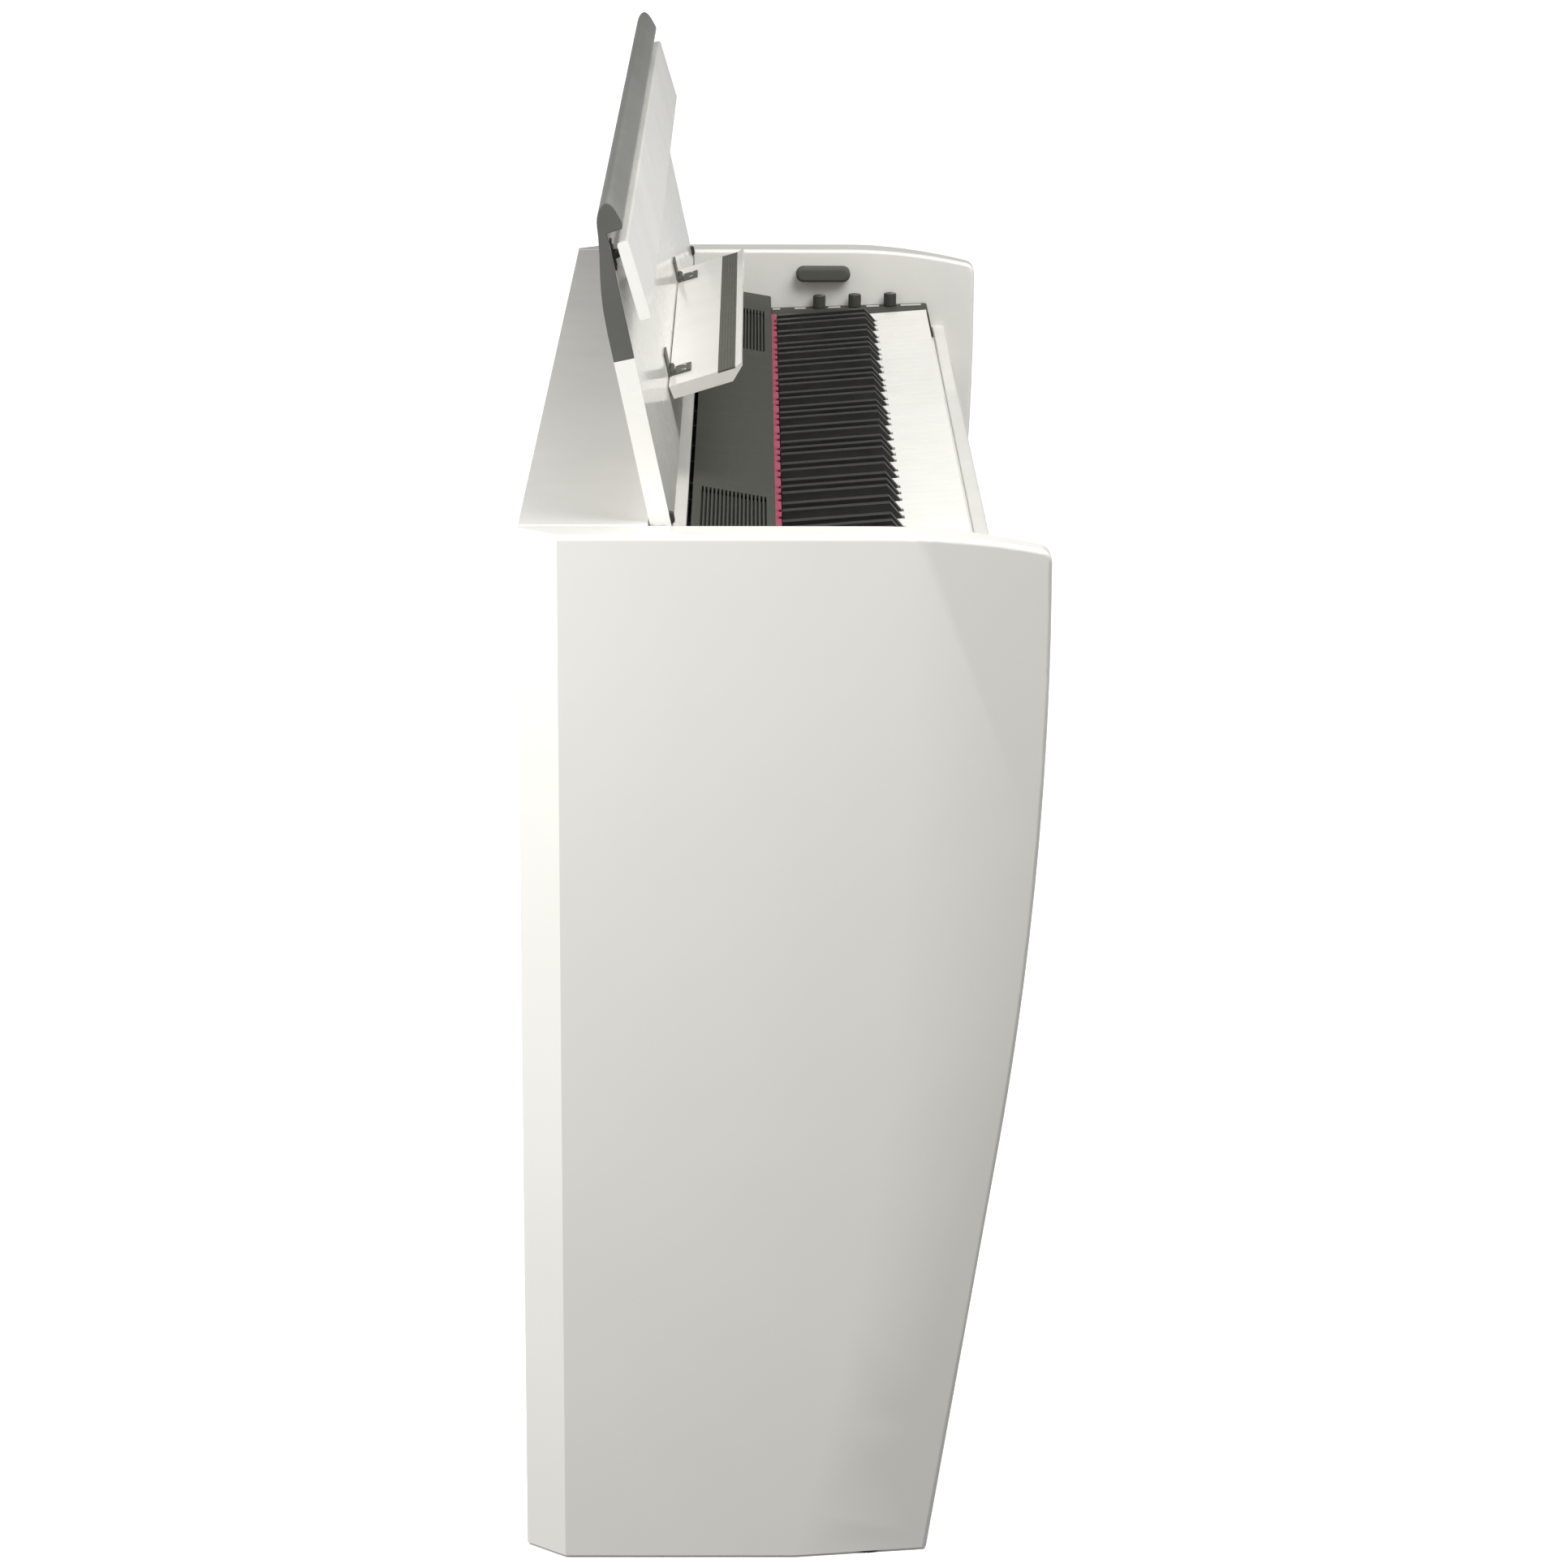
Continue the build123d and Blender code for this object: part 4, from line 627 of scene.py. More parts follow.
@dataclass(frozen=True)
class Cabinetmaker:
    """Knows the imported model's frame and files each finished piece in it."""

    nodes: dict[str, bpy.types.Object]
    rear: float
    inner: float

    def at(self, x: float, r: float, z: float) -> Vector:
        """Give a place in metres from millimetres, r in front of the rear face."""
        return Vector((x * MM, self.rear - r * MM, z * MM))

    def spot(self, r: float, z: float) -> Pair:
        """Give a section corner in metres from r and z in millimetres."""
        return self.rear - r * MM, z * MM

    def file(
        self,
        item: bpy.types.Object,
        name: str,
        body: str,
        finish: Finish,
        stands_for: Sequence[str] = (),
    ) -> None:
        """Name, dress and mount one finished piece.

        Args:
            item: The piece.
            name: Its name.
            body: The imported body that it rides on.
            finish: What it is made of.
            stands_for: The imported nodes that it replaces.
        """
        item.name = item.data.name = name
        item.data.materials.clear()
        item.data.materials.append(finish.material())
        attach(item, body)
        if stands_for:
            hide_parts(*stands_for)
        LOG.info("%s: %d faces on %s", name, len(item.data.polygons), body)

    def dress(self, node: str, finish: Finish) -> None:
        """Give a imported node, kept as it is, its real finish.

        Args:
            node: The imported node.
            finish: What it is made of.
        """
        mesh = self.nodes[node].data
        if not mesh.materials:
            mesh.materials.append(finish.material())
        for place in self.nodes[node].material_slots:
            place.material = finish.material()
        LOG.info("%s: packed node kept in %s", node, finish.name)

    def worked_up(
        self,
        node: str,
        name: str,
        body: str,
        finish: Finish,
        width: float = 0.4,
        angle: float = 32.0,
    ) -> None:
        """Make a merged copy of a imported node, with its corners rounded and its curves smooth.

        Args:
            node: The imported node.
            name: The new piece's name.
            body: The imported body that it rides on.
            finish: What it is made of.
            width: Rounding of its sharp edges, in millimetres.
            angle: What counts as sharp, in degrees.
        """
        made = twin(self.nodes[node])
        for key in list(made.keys()):
            if key.startswith("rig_"):
                del made[key]
        made.parent = None
        with at_work(made):
            bpy.ops.mesh.select_all(action="SELECT")
            bpy.ops.mesh.remove_doubles(threshold=0.002 * MM)
            bpy.ops.mesh.customdata_custom_splitnormals_clear()
            bpy.ops.mesh.dissolve_limited(angle_limit=math.radians(0.4))
        self.file(ease(made, width, 2, angle), name, body, finish, [node])


# ============================== fasteners ==============================
@dataclass(frozen=True)
class Screw:
    """A machine screw's head with its recess, modelled once along +Z and copied."""

    radius: float = 2.6
    rise: float = 0.9
    recess: float = 0.55
    sides: int = 24
    land: float = 0.28  # flat rim round the crown, as a share of the radius
    crown: float = 0.18  # crown above the rim, as a share of the rise
    cross: Pair = (0.62, 0.16)  # half length and half width of a cross arm, of the radius
    socket: float = 0.5  # hexagon, of the radius

    def head(self, crossed: bool) -> bpy.types.Object:
        """Model the head, standing on the origin.

        Args:
            crossed: True for a cross recess, False for a hexagon socket.

        Returns:
            The head.
        """
        high = self.rise * MM
        made = rod(Vector((0, 0, high / 2)), self.radius * MM, high, "Z", self.sides)
        with at_work(made):
            pick(made, "FACE", lambda c: near(c.z, high))
            bpy.ops.mesh.inset(thickness=self.radius * self.land * MM)
            shift((0, 0, self.crown * self.rise * MM))
        long, wide = self.cross
        room = Vector((self.radius * long, self.radius * wide, self.recess)) * MM
        if crossed:
            for turn in (0.0, math.pi / 2):
                bar = block(-room, room)
                bar.location.z = high * 1.2
                bar.rotation_euler.z = turn
                cut(made, settle(bar))
        else:
            deep = 2 * self.recess * MM
            across = self.radius * self.socket * MM
            cut(made, rod(Vector((0, 0, high * 1.2)), across, deep, "Z", 6))
        return ease(made, 0.08, 1)

    def row(self, crossed: bool, places: Sequence[Vector], facing: Vector) -> bpy.types.Object:
        """Copy the head to several places.

        Args:
            crossed: True for a cross recess.
            places: Where each head stands.
            facing: The way that they face.

        Returns:
            All the heads as one object.
        """
        master = self.head(crossed)
        turn = facing.to_track_quat("Z", "Y").to_matrix().to_4x4()
        heads = []
        for place in places:
            copy = twin(master)
            copy.matrix_world = Matrix.Translation(place) @ turn
            heads.append(settle(copy))
        bpy.data.objects.remove(master)
        return joined(heads)


# ============================== cabinet ==============================
@dataclass(frozen=True)
class Cabinet:
    """Side panels, boards, feet and everything that only shows from outside."""

    shop: Cabinetmaker
    board_ease: float = 1.2
    pad_ease: float = 3.2
    pad_proud: float = 14.0
    bolts: int = 6

    def build(self) -> None:
        """Build the cabinet's pieces in order."""
        self.panels()
        self.boards()
        self.pads()
        self.feet()
        self.screws()

    def panels(self) -> None:
        """Lacquered side panels, their mould edges smooth and their creases crisp."""
        for end in ("treble", "bass"):
            self.shop.worked_up(
                f"side_panel_{end}", f"lacquered_panel_{end}", "cabinet", WHITE_LACQUER, 0.0, 20.0
            )

    def boards(self) -> None:
        """Boards between the panels."""
        for node, name, finish in (
            ("top_board", "top_shelf_board", WHITE_LACQUER),
            ("hinge_rail", "hinge_rail_board", WHITE_LACQUER),
            ("top_rail", "rear_top_rail", WHITE_LAMINATE),
            ("back_panel", "rear_cover_panel", WHITE_LAMINATE),
            ("key_bed", "key_bed_board", WHITE_LAMINATE),
            ("lower_back_board", "lower_rear_board", WHITE_LAMINATE),
        ):
            board = ease(block(*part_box(node)), self.board_ease, 3)
            self.shop.file(board, name, "cabinet", finish, [node])
        self.shop.worked_up("key_slip", "front_key_slip", "cabinet", WHITE_LACQUER, 0.6)

    def pads(self) -> None:
        """Oval rubber pads that the closed lid lies on, each a stretched and rounded puck."""
        low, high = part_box("lid_rest_pads")
        tall = high.z - low.z
        length = high.y - low.y
        proud = self.pad_proud * MM
        pads = []
        for side in (-1, 1):
            middle = (low + high) / 2
            centre = Vector((side * (self.shop.inner - proud / 2), middle.y, middle.z))
            pad = rod(centre, tall / 2, proud, "X", 48)
            with at_work(pad):
                for way in (-1, 1):
                    pick(pad, "VERT", lambda c, way=way: way * (c.y - middle.y) > 0.1 * MM)
                    shift((0, way * (length - tall) / 2, 0))
                face = side * (self.shop.inner - proud)
                pick(pad, "FACE", lambda c, face=face: near(c.x, face))
                bpy.ops.mesh.bevel(offset=self.pad_ease * MM, segments=6, affect="EDGES")
            pads.append(pad)
        made = ease(joined(pads), 0.0, 1, 40.0)
        self.shop.file(made, "lid_rest_pad_pair", "cabinet", DARK_RUBBER, ["lid_rest_pads"])

    def feet(self) -> None:
        """Nylon glides, and the threaded foot under the pedal box."""
        self.shop.worked_up("floor_glides", "nylon_floor_glides", "cabinet", BLACK_NYLON, 0.3)
        self.shop.worked_up("support_foot", "threaded_support_foot", "cabinet", BRIGHT_STEEL, 0.6)

    def screws(self) -> None:
        """Socket screws through the rear cover."""
        low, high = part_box("back_panel_screws")
        z = (low.z + high.z) / 2
        inset = (high.z - low.z) / 2
        step = (high.x - low.x - 2 * inset) / (self.bolts - 1)
        places = [Vector((low.x + inset + step * n, low.y, z)) for n in range(self.bolts)]
        head = Screw(radius=inset / MM, rise=1.8, recess=1.2)
        made = head.row(False, places, Vector((0, 1, 0)))
        self.shop.file(
            made, "rear_socket_screws", "cabinet", BRIGHT_STEEL, ["back_panel_screws"]
        )


# ============================== keyboard ==============================
@dataclass(frozen=True)
class Keyboard:
    """Eighty-eight keys, their felt and the frame under them."""

    shop: Cabinetmaker
    white_keys: int = 52
    pitch: float = 23.5
    gap: float = 0.6
    black_width: float = 10.0
    black_side_gap: float = 0.8
    black_length: float = 84.0
    black_nose: float = 10.5
    black_rise: Pair = (12.3, 12.8)
    black_draft: float = 0.9  # width at the top, as a share of the width below
    black_crown: float = 0.5
    head_start: float = 1.5
    nick: tuple[float, float, float] = (3.5, 3.0, 2.2)  # half width, depth, reach
    white_ease: float = 0.3
    black_ease: float = 0.55
    shown: float = 145.0
    slope: float = 0.0738
    plate: float = 10.0
    lip: float = 20.0
    lip_wall: float = 3.0
    felt_line: float = 194.4
    rear_top: float = 729.9
    first_c: int = 2

    OFFSETS = {
        "c_sharp": (1, -1.9),
        "d_sharp": (2, 1.9),
        "f_sharp": (4, -3.0),
        "g_sharp": (5, 0.0),
        "a_sharp": (6, 3.0),
    }
    WHITES = ("c", "d", "e", "f", "g", "a", "b")

    def build(self) -> None:
        """Build the keys by note, then what lies round them."""
        groups: dict[str, list[bpy.types.Object]] = {}
        for index in range(self.white_keys):
            note = self.WHITES[(index - self.first_c) % 7]
            groups.setdefault(note, []).append(self.white_key(index))
            over = self.black_over(index)
            if over:
                groups.setdefault(over[0], []).append(self.black_key(over[1]))
        for note, parts in groups.items():
            black = note.endswith("sharp")
            finish = BLACK_KEYTOP if black else WHITE_KEYTOP
            made = ease(joined(parts), self.black_ease if black else self.white_ease, 2, 30.0)
            self.shop.file(
                made, f"key_tops_{note}", f"keys_{note}_group", finish, [f"keys_{note}"]
            )
        self.felt()
        for node, finish in (
            ("key_frame", ZINC_STEEL),
            ("key_pivot_rod", BRIGHT_STEEL),
            ("key_stop_felt", GREY_FELT),
            ("key_sensor_board", CIRCUIT_BOARD),
            ("key_contact_strip", DARK_RUBBER),
        ):
            self.shop.dress(node, finish)

    def line_x(self, index: int) -> float:
        """Give the X, in millimetres, of the line left of a white key."""
        return (index - self.white_keys / 2) * self.pitch

    def top(self, r: float) -> float:
        """Give the height of the white key tops at r."""
        return self.rear_top + (r - self.felt_line) * self.slope

    def black_over(self, index: int) -> Optional[tuple[str, float]]:
        """Name the black key over a line between white keys.

        Args:
            index: The white key right of the line.

        Returns:
            Its name and its X in millimetres, or None where there is none.
        """
        if index < 1 or index >= self.white_keys:
            return None
        step = (index - self.first_c) % 7
        for name, (place, offset) in self.OFFSETS.items():
            if place % 7 == step:
                return name, self.line_x(index) + offset
        return None

    def tail(self, index: int) -> Pair:
        """Give the limits of a white key's tail between its black neighbours.

        Args:
            index: The key's number among the white keys, from the bass end.

        Returns:
            Its lowest and highest X, in millimetres.
        """
        left, right = self.black_over(index), self.black_over(index + 1)
        clear = self.black_width / 2 + self.black_side_gap
        x0 = left[1] + clear if left else self.line_x(index) + self.gap / 2
        x1 = right[1] - clear if right else self.line_x(index + 1) - self.gap / 2
        return x0, x1

    def white_key(self, index: int) -> bpy.types.Object:
        """Model a white key from its head: the tail and the front lip are drawn out of it.

        Args:
            index: Its number from the bass end.

        Returns:
            The key, its edges still sharp.
        """
        head_rear = self.felt_line + self.black_length + self.black_nose + self.head_start
        front = self.felt_line + self.shown
        x0 = self.line_x(index) + self.gap / 2
        x1 = self.line_x(index + 1) - self.gap / 2
        high = self.top(head_rear)
        shop = self.shop
        key = block(shop.at(x0, front, high - self.plate), shop.at(x1, head_rear, high))
        t0, t1 = self.tail(index)
        back_y, front_y = shop.spot(head_rear, 0)[0], shop.spot(front, 0)[0]
        rise = (front - head_rear) * self.slope * MM
        with at_work(key):
            pick(key, "VERT", lambda c: near(c.y, front_y))
            shift((0, 0, rise))
            for x in (t0, t1):
                if x0 + 0.1 < x < x1 - 0.1:
                    bpy.ops.mesh.select_all(action="SELECT")
                    bpy.ops.mesh.bisect(plane_co=(x * MM, 0, 0), plane_no=(1, 0, 0))
            lip_y = front_y + self.lip_wall * MM
            bpy.ops.mesh.select_all(action="SELECT")
            bpy.ops.mesh.bisect(plane_co=(0, lip_y, 0), plane_no=(0, 1, 0))
            room = 0.05 * MM
            pick(
                key,
                "FACE",
                lambda c: near(c.y, back_y) and t0 * MM - room < c.x < t1 * MM + room,
            )
            back = head_rear - self.felt_line
            draw_out((0, back * MM, -back * self.slope * MM))
            under = (high + self.slope * (front - head_rear) - self.plate * 0.5) * MM
            pick(key, "FACE", lambda c: c.y < lip_y + room and c.z < under)
            draw_out((0, 0, (self.plate - self.lip) * MM))
        return key

    def black_key(self, x: float) -> bpy.types.Object:
        """Model a black key: a block with a sloping nose and drafted sides.

        Args:
            x: Its middle line, in millimetres.

        Returns:
            The key, its edges still sharp.
        """
        shop = self.shop
        nose = self.felt_line + self.black_length
        foot = nose + self.black_nose
        half = self.black_width / 2
        low, high = self.top(self.felt_line) - self.plate, self.top(self.felt_line)
        key = block(shop.at(x - half, foot, low), shop.at(x + half, self.felt_line, high))
        foot_y, back_y = shop.spot(foot, 0)[0], shop.spot(self.felt_line, 0)[0]
        run = foot - self.felt_line
        with at_work(key):
            pick(key, "VERT", lambda c: near(c.y, foot_y))
            shift((0, 0, run * self.slope * MM))
            pick(key, "FACE", lambda c: c.z > (high - 1) * MM)
            draw_out((0, 0, self.black_rise[0] * MM))
            middle = (high + run * self.slope + 3) * MM
            pick(key, "VERT", lambda c: near(c.y, foot_y) and c.z > middle)
            lift = self.black_rise[1] - self.black_rise[0] - self.black_nose * self.slope
            shift((0, self.black_nose * MM, lift * MM))
            pick(key, "VERT", lambda c: c.z > middle)
            pivot = (x * MM, (foot_y + back_y) / 2, middle)
            bpy.ops.transform.resize(value=(self.black_draft, 1, 1), center_override=pivot)
            pick(key, "FACE", lambda c: c.z > middle)
            bpy.ops.mesh.bevel(offset=self.black_crown * MM, segments=2, affect="EDGES")
        return key

    def felt(self) -> None:
        """Strip of felt with a nick at each black key, where the key's end has worn it."""
        low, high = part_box("felt_strip")
        strip = block(low, high)
        half, deep, reach = (size * MM for size in self.nick)
        nicks = []
        for index in range(1, self.white_keys):
            over = self.black_over(index)
            if over:
                x = over[1] * MM
                corner = Vector((x - half, low.y - MM, high.z - deep))
                nicks.append(block(corner, Vector((x + half, low.y + reach, high.z + MM))))
        cut(strip, joined(nicks))
        self.shop.file(
            ease(strip, 0.5, 2), "crimson_key_felt", "cabinet", CRIMSON_FELT, ["felt_strip"]
        )


# ============================== panel and controls ==============================
@dataclass(frozen=True)
class ControlArea:
    """Sloping speaker panel, the blocks at both ends and the three knobs."""

    shop: Cabinetmaker
    knob_sides: int = 40
    knob_tall: float = 12.0
    crown_ease: float = 1.1
    dish: Pair = (0.7, 0.25)  # rim and depth of the crown's dish
    spindle: float = 3.0
    flute: Pair = (0.1, 0.965)  # edge of a flute, and the share of the radius left in it
    pointer_half: float = 0.6
    cloth_x: Pair = (334.0, 578.0)
    cloth_inset: float = 4.0
    cloth_drop: float = 3.6
    cloth_sag: Pair = (5.0, 0.4)  # glued rim, and how far the middle hangs below it
    block_slope: float = 0.0328
    block_rear_top: float = 732.7
    label_round: float = 1.2
    label_rise: float = 0.12
    label_x: Pair = (657.0, 665.0)
    labels: tuple[Pair, ...] = (
        (190.5, 198.0),
        (212.0, 223.0),
        (245.0, 257.0),
        (282.5, 295.0),
        (316.0, 336.0),
    )

    def build(self) -> None:
        """Build the panel, blocks, knobs and printed patches."""
        shop = self.shop
        shop.worked_up("speaker_panel", "slotted_speaker_panel", "cabinet", DARK_ABS, 0.25, 35.0)
        shop.worked_up("end_block_bass", "bass_end_block", "cabinet", DARK_ABS, 0.5)
        shop.worked_up("control_block", "treble_control_block", "cabinet", DARK_ABS, 0.5)
        self.cloth()
        self.knobs()
        self.patches()
        shop.dress("control_board", CIRCUIT_BOARD)
        shop.dress("speakers", BLACK_ABS)

    def cloth(self) -> None:
        """Cloth stretched under each grille, sagging a little from its glued rim."""
        low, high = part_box("speaker_panel")
        for name, side in (("bass", -1), ("treble", 1)):
            x0, x1 = sorted(side * x * MM for x in self.cloth_x)
            y0, y1 = low.y + self.cloth_inset * MM, high.y - self.cloth_inset * MM
            half_tall = (high.z - low.z) * 0.5
            z0 = low.z + half_tall - self.cloth_drop * MM
            z1 = z0 + half_tall / (high.y - low.y) * (y1 - y0)
            sheet = section_bar([(y0, z0), (y1, z1), (y1, z1 - MM), (y0, z0 - MM)], x0, x1)
            rim, sag = self.cloth_sag
            with at_work(sheet):
                pick(sheet, "FACE", lambda c: c.z > z0 - 0.5 * MM)
                bpy.ops.mesh.inset(thickness=rim * MM)
                shift((0, 0, -sag * MM))
            self.shop.file(ease(sheet, 0.2, 1), f"grille_cloth_{name}", "cabinet", GRILLE_CLOTH)

    def knobs(self) -> None:
        """Fluted push-on knobs, each with a paint-filled pointer on its crown."""
        for name, paint in (
            ("volume", PALE_PAINT),
            ("brilliance", RED_PAINT),
            ("reverb", PALE_PAINT),
        ):
            node = f"knob_{name}"
            low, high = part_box(node)
            middle = (low + high) / 2
            radius = (high.x - low.x) / 2
            tall = self.knob_tall * MM
            centre = Vector((middle.x, middle.y, high.z - tall / 2))
            cap = rod(centre, radius, tall, "Z", self.knob_sides)
            with at_work(cap):
                pick(cap, "FACE", lambda c: near(c.z, high.z))
                bpy.ops.mesh.bevel(offset=self.crown_ease * MM, segments=3, affect="EDGES")
                pick(cap, "FACE", lambda c: near(c.z, high.z))
                bpy.ops.mesh.inset(thickness=self.dish[0] * MM)
                shift((0, 0, -self.dish[1] * MM))
                self.press_flutes(cap, centre)
            under = Vector((middle.x, middle.y, (low.z + high.z - tall) / 2))
            foot = rod(under, self.spindle * MM, high.z - tall - low.z + 0.2 * MM, "Z", 20)
            made = ease(joined([cap, foot]), 0.12, 1, 38.0)
            self.shop.file(made, f"fluted_{node}", node, BLACK_ABS, [node])
            x0, x1 = middle.x - self.pointer_half * MM, middle.x + self.pointer_half * MM
            mark = block(
                Vector((x0, low.y + 0.4 * MM, high.z - 0.4 * MM)),
                Vector((x1, middle.y - 1.6 * MM, high.z - 0.05 * MM)),
            )
            side = block(
                Vector((x0, low.y - 0.12 * MM, high.z - 0.75 * tall)),
                Vector((x1, low.y + 0.6 * MM, high.z - self.crown_ease * MM)),
            )
            pointer = ease(joined([mark, side]), 0.15, 1)
            self.shop.file(pointer, f"pointer_{node}", node, paint)

    def press_flutes(self, cap: bpy.types.Object, centre: Vector) -> None:
        """Press every other flat of a knob's skirt inwards.

        Args:
            cap: The knob in edit mode.
            centre: Its middle.
        """
        bpy.ops.mesh.select_mode(type="FACE")
        bpy.ops.mesh.select_all(action="DESELECT")
        mesh = bmesh.from_edit_mesh(cap.data)
        mesh.faces.ensure_lookup_table()
        step = 2 * math.pi / self.knob_sides
        for face in mesh.faces:
            if abs(face.normal.z) > 0.1:
                continue
            away = face.calc_center_median() - centre
            if round(math.atan2(away.y, away.x) / step - 0.5) % 2 == 0:
                face.select_set(True)
        bmesh.update_edit_mesh(cap.data)
        edge, left = self.flute
        bpy.ops.mesh.inset(thickness=edge * MM, use_individual=True)
        bpy.ops.transform.resize(value=(left, left, 1), center_override=centre)

    def patches(self) -> None:
        """Printed patches beside the knobs, left blank, each a film with rounded corners."""
        r_rear = (self.shop.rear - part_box("control_block")[1].y) / MM
        lift = self.label_rise * MM
        films = []
        for r0, r1 in self.labels:
            (ya, za), (yb, zb) = (
                self.shop.spot(r, self.block_rear_top + (r - r_rear) * self.block_slope)
                for r in (r0, r1)
            )
            line = [(ya, za), (yb, zb), (yb, zb + lift), (ya, za + lift)]
            film = section_bar(line, self.label_x[0] * MM, self.label_x[1] * MM)
            with at_work(film):
                bpy.ops.mesh.select_mode(type="EDGE")
                mesh = bmesh.from_edit_mesh(film.data)
                for edge in mesh.edges:
                    upright = abs(edge.verts[0].co.z - edge.verts[1].co.z) > lift * 0.5
                    edge.select_set(upright and edge.calc_length() < 2 * lift)
                bmesh.update_edit_mesh(film.data)
                bpy.ops.mesh.bevel(offset=self.label_round * MM, segments=4, affect="EDGES")
            films.append(film)
        made = ease(joined(films), 0.0, 1)
        self.shop.file(made, "printed_control_patches", "cabinet", PRINTED_INK)


# ============================== lid ==============================
@dataclass(frozen=True)
class Lid:
    """Lacquered lid with its aluminium nose, dark end caps and hanging leaf."""

    shop: Cabinetmaker
    axis_r: float = 105.7
    axis_z: float = 782.0
    angle: float = 102.1
    half: float = 658.0
    bush_radius: float = 6.0
    bore_radius: float = 4.06
    bush_length: float = 18.0
    cover_x: Pair = (12.0, 2.0)  # ends of the cover under a bush, inside the lid's end
    cover: tuple[Pair, ...] = ((4.0, -7.2), (13.0, -7.2), (11.5, -10.2), (5.5, -10.2))
    screw_u: Pair = (196.5, 213.5)
    screw_v: float = -8.6
    screw_inset: float = 3.7

    def build(self) -> None:
        """Build the lid's pieces in order."""
        shop = self.shop
        for node, name, body, finish, width, angle in (
            ("lid_board", "lacquered_lid_board", "lid", LID_LACQUER, 0.4, 32.0),
            ("lid_nose", "aluminium_lid_nose", "lid", SATIN_ALUMINIUM, 0.3, 32.0),
            ("lid_end_caps", "moulded_lid_end_caps", "lid", CAP_ABS, 0.6, 32.0),
            ("lid_leaf", "hanging_lid_leaf", "leaf", WHITE_LACQUER, 0.0, 40.0),
            ("leaf_lugs", "leaf_pivot_lugs", "leaf", BLACK_NYLON, 0.15, 32.0),
            ("leaf_brackets", "leaf_pivot_brackets", "lid", BLACK_NYLON, 0.2, 32.0),
        ):
            shop.worked_up(node, name, body, finish, width, angle)
        self.bushes()
        shop.worked_up("lid_pivot_brackets", "steel_pivot_plates", "cabinet", ZINC_STEEL, 0.3)
        self.screws()

    def direction(self, u: float, v: float) -> Vector:
        """Turn a direction in the lid's own section to the open lid's.

        Args:
            u: Millimetres out from the lid's axis.
            v: Millimetres above the axis.

        Returns:
            The direction, in millimetres.
        """
        turn = math.radians(self.angle)
        out = u * math.cos(turn) - v * math.sin(turn)
        up = u * math.sin(turn) + v * math.cos(turn)
        return Vector((0, -out, up))

    def place(self, x: float, u: float, v: float) -> Vector:
        """Give the place, in metres, of a point of the open lid."""
        return self.shop.at(x, self.axis_r, self.axis_z) + self.direction(u, v) * MM

    def bushes(self) -> None:
        """Pale nylon bushes bored for the pivot pins, each with a dark cover under it."""
        bushes, covers = [], []
        for side in (-1, 1):
            length = self.bush_length
            centre = self.place(side * (self.half - length / 2), 0, 0)
            bush = rod(centre, self.bush_radius * MM, length * MM, "X", 36)
            cut(bush, rod(centre, self.bore_radius * MM, (length + 2) * MM, "X", 36))
            bushes.append(bush)
            corners = [self.place(0, u, v) for u, v in self.cover]
            x0, x1 = sorted(side * (self.half - inset) * MM for inset in self.cover_x)
            covers.append(section_bar([(c.y, c.z) for c in corners], x0, x1))
        self.shop.file(
            ease(joined(bushes), 0.3, 2), "nylon_pivot_bushes", "lid", PALE_NYLON,
            ["lid_pivot_bushes"],
        )
        self.shop.file(ease(joined(covers), 0.5, 2), "pivot_bush_covers", "lid", BLACK_NYLON)

    def screws(self) -> None:
        """Cross-head screws that hold the leaf's brackets to the lid."""
        low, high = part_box("leaf_brackets")
        end = (high.x - low.x) / 2 / MM - self.screw_inset
        places = [self.place(x, u, self.screw_v) for x in (-end, 0.0, end) for u in self.screw_u]
        head = Screw(radius=1.7, rise=0.6, recess=0.4)
        made = head.row(True, places, self.direction(0, -1))
        self.shop.file(made, "leaf_bracket_screws", "lid", BRIGHT_STEEL)


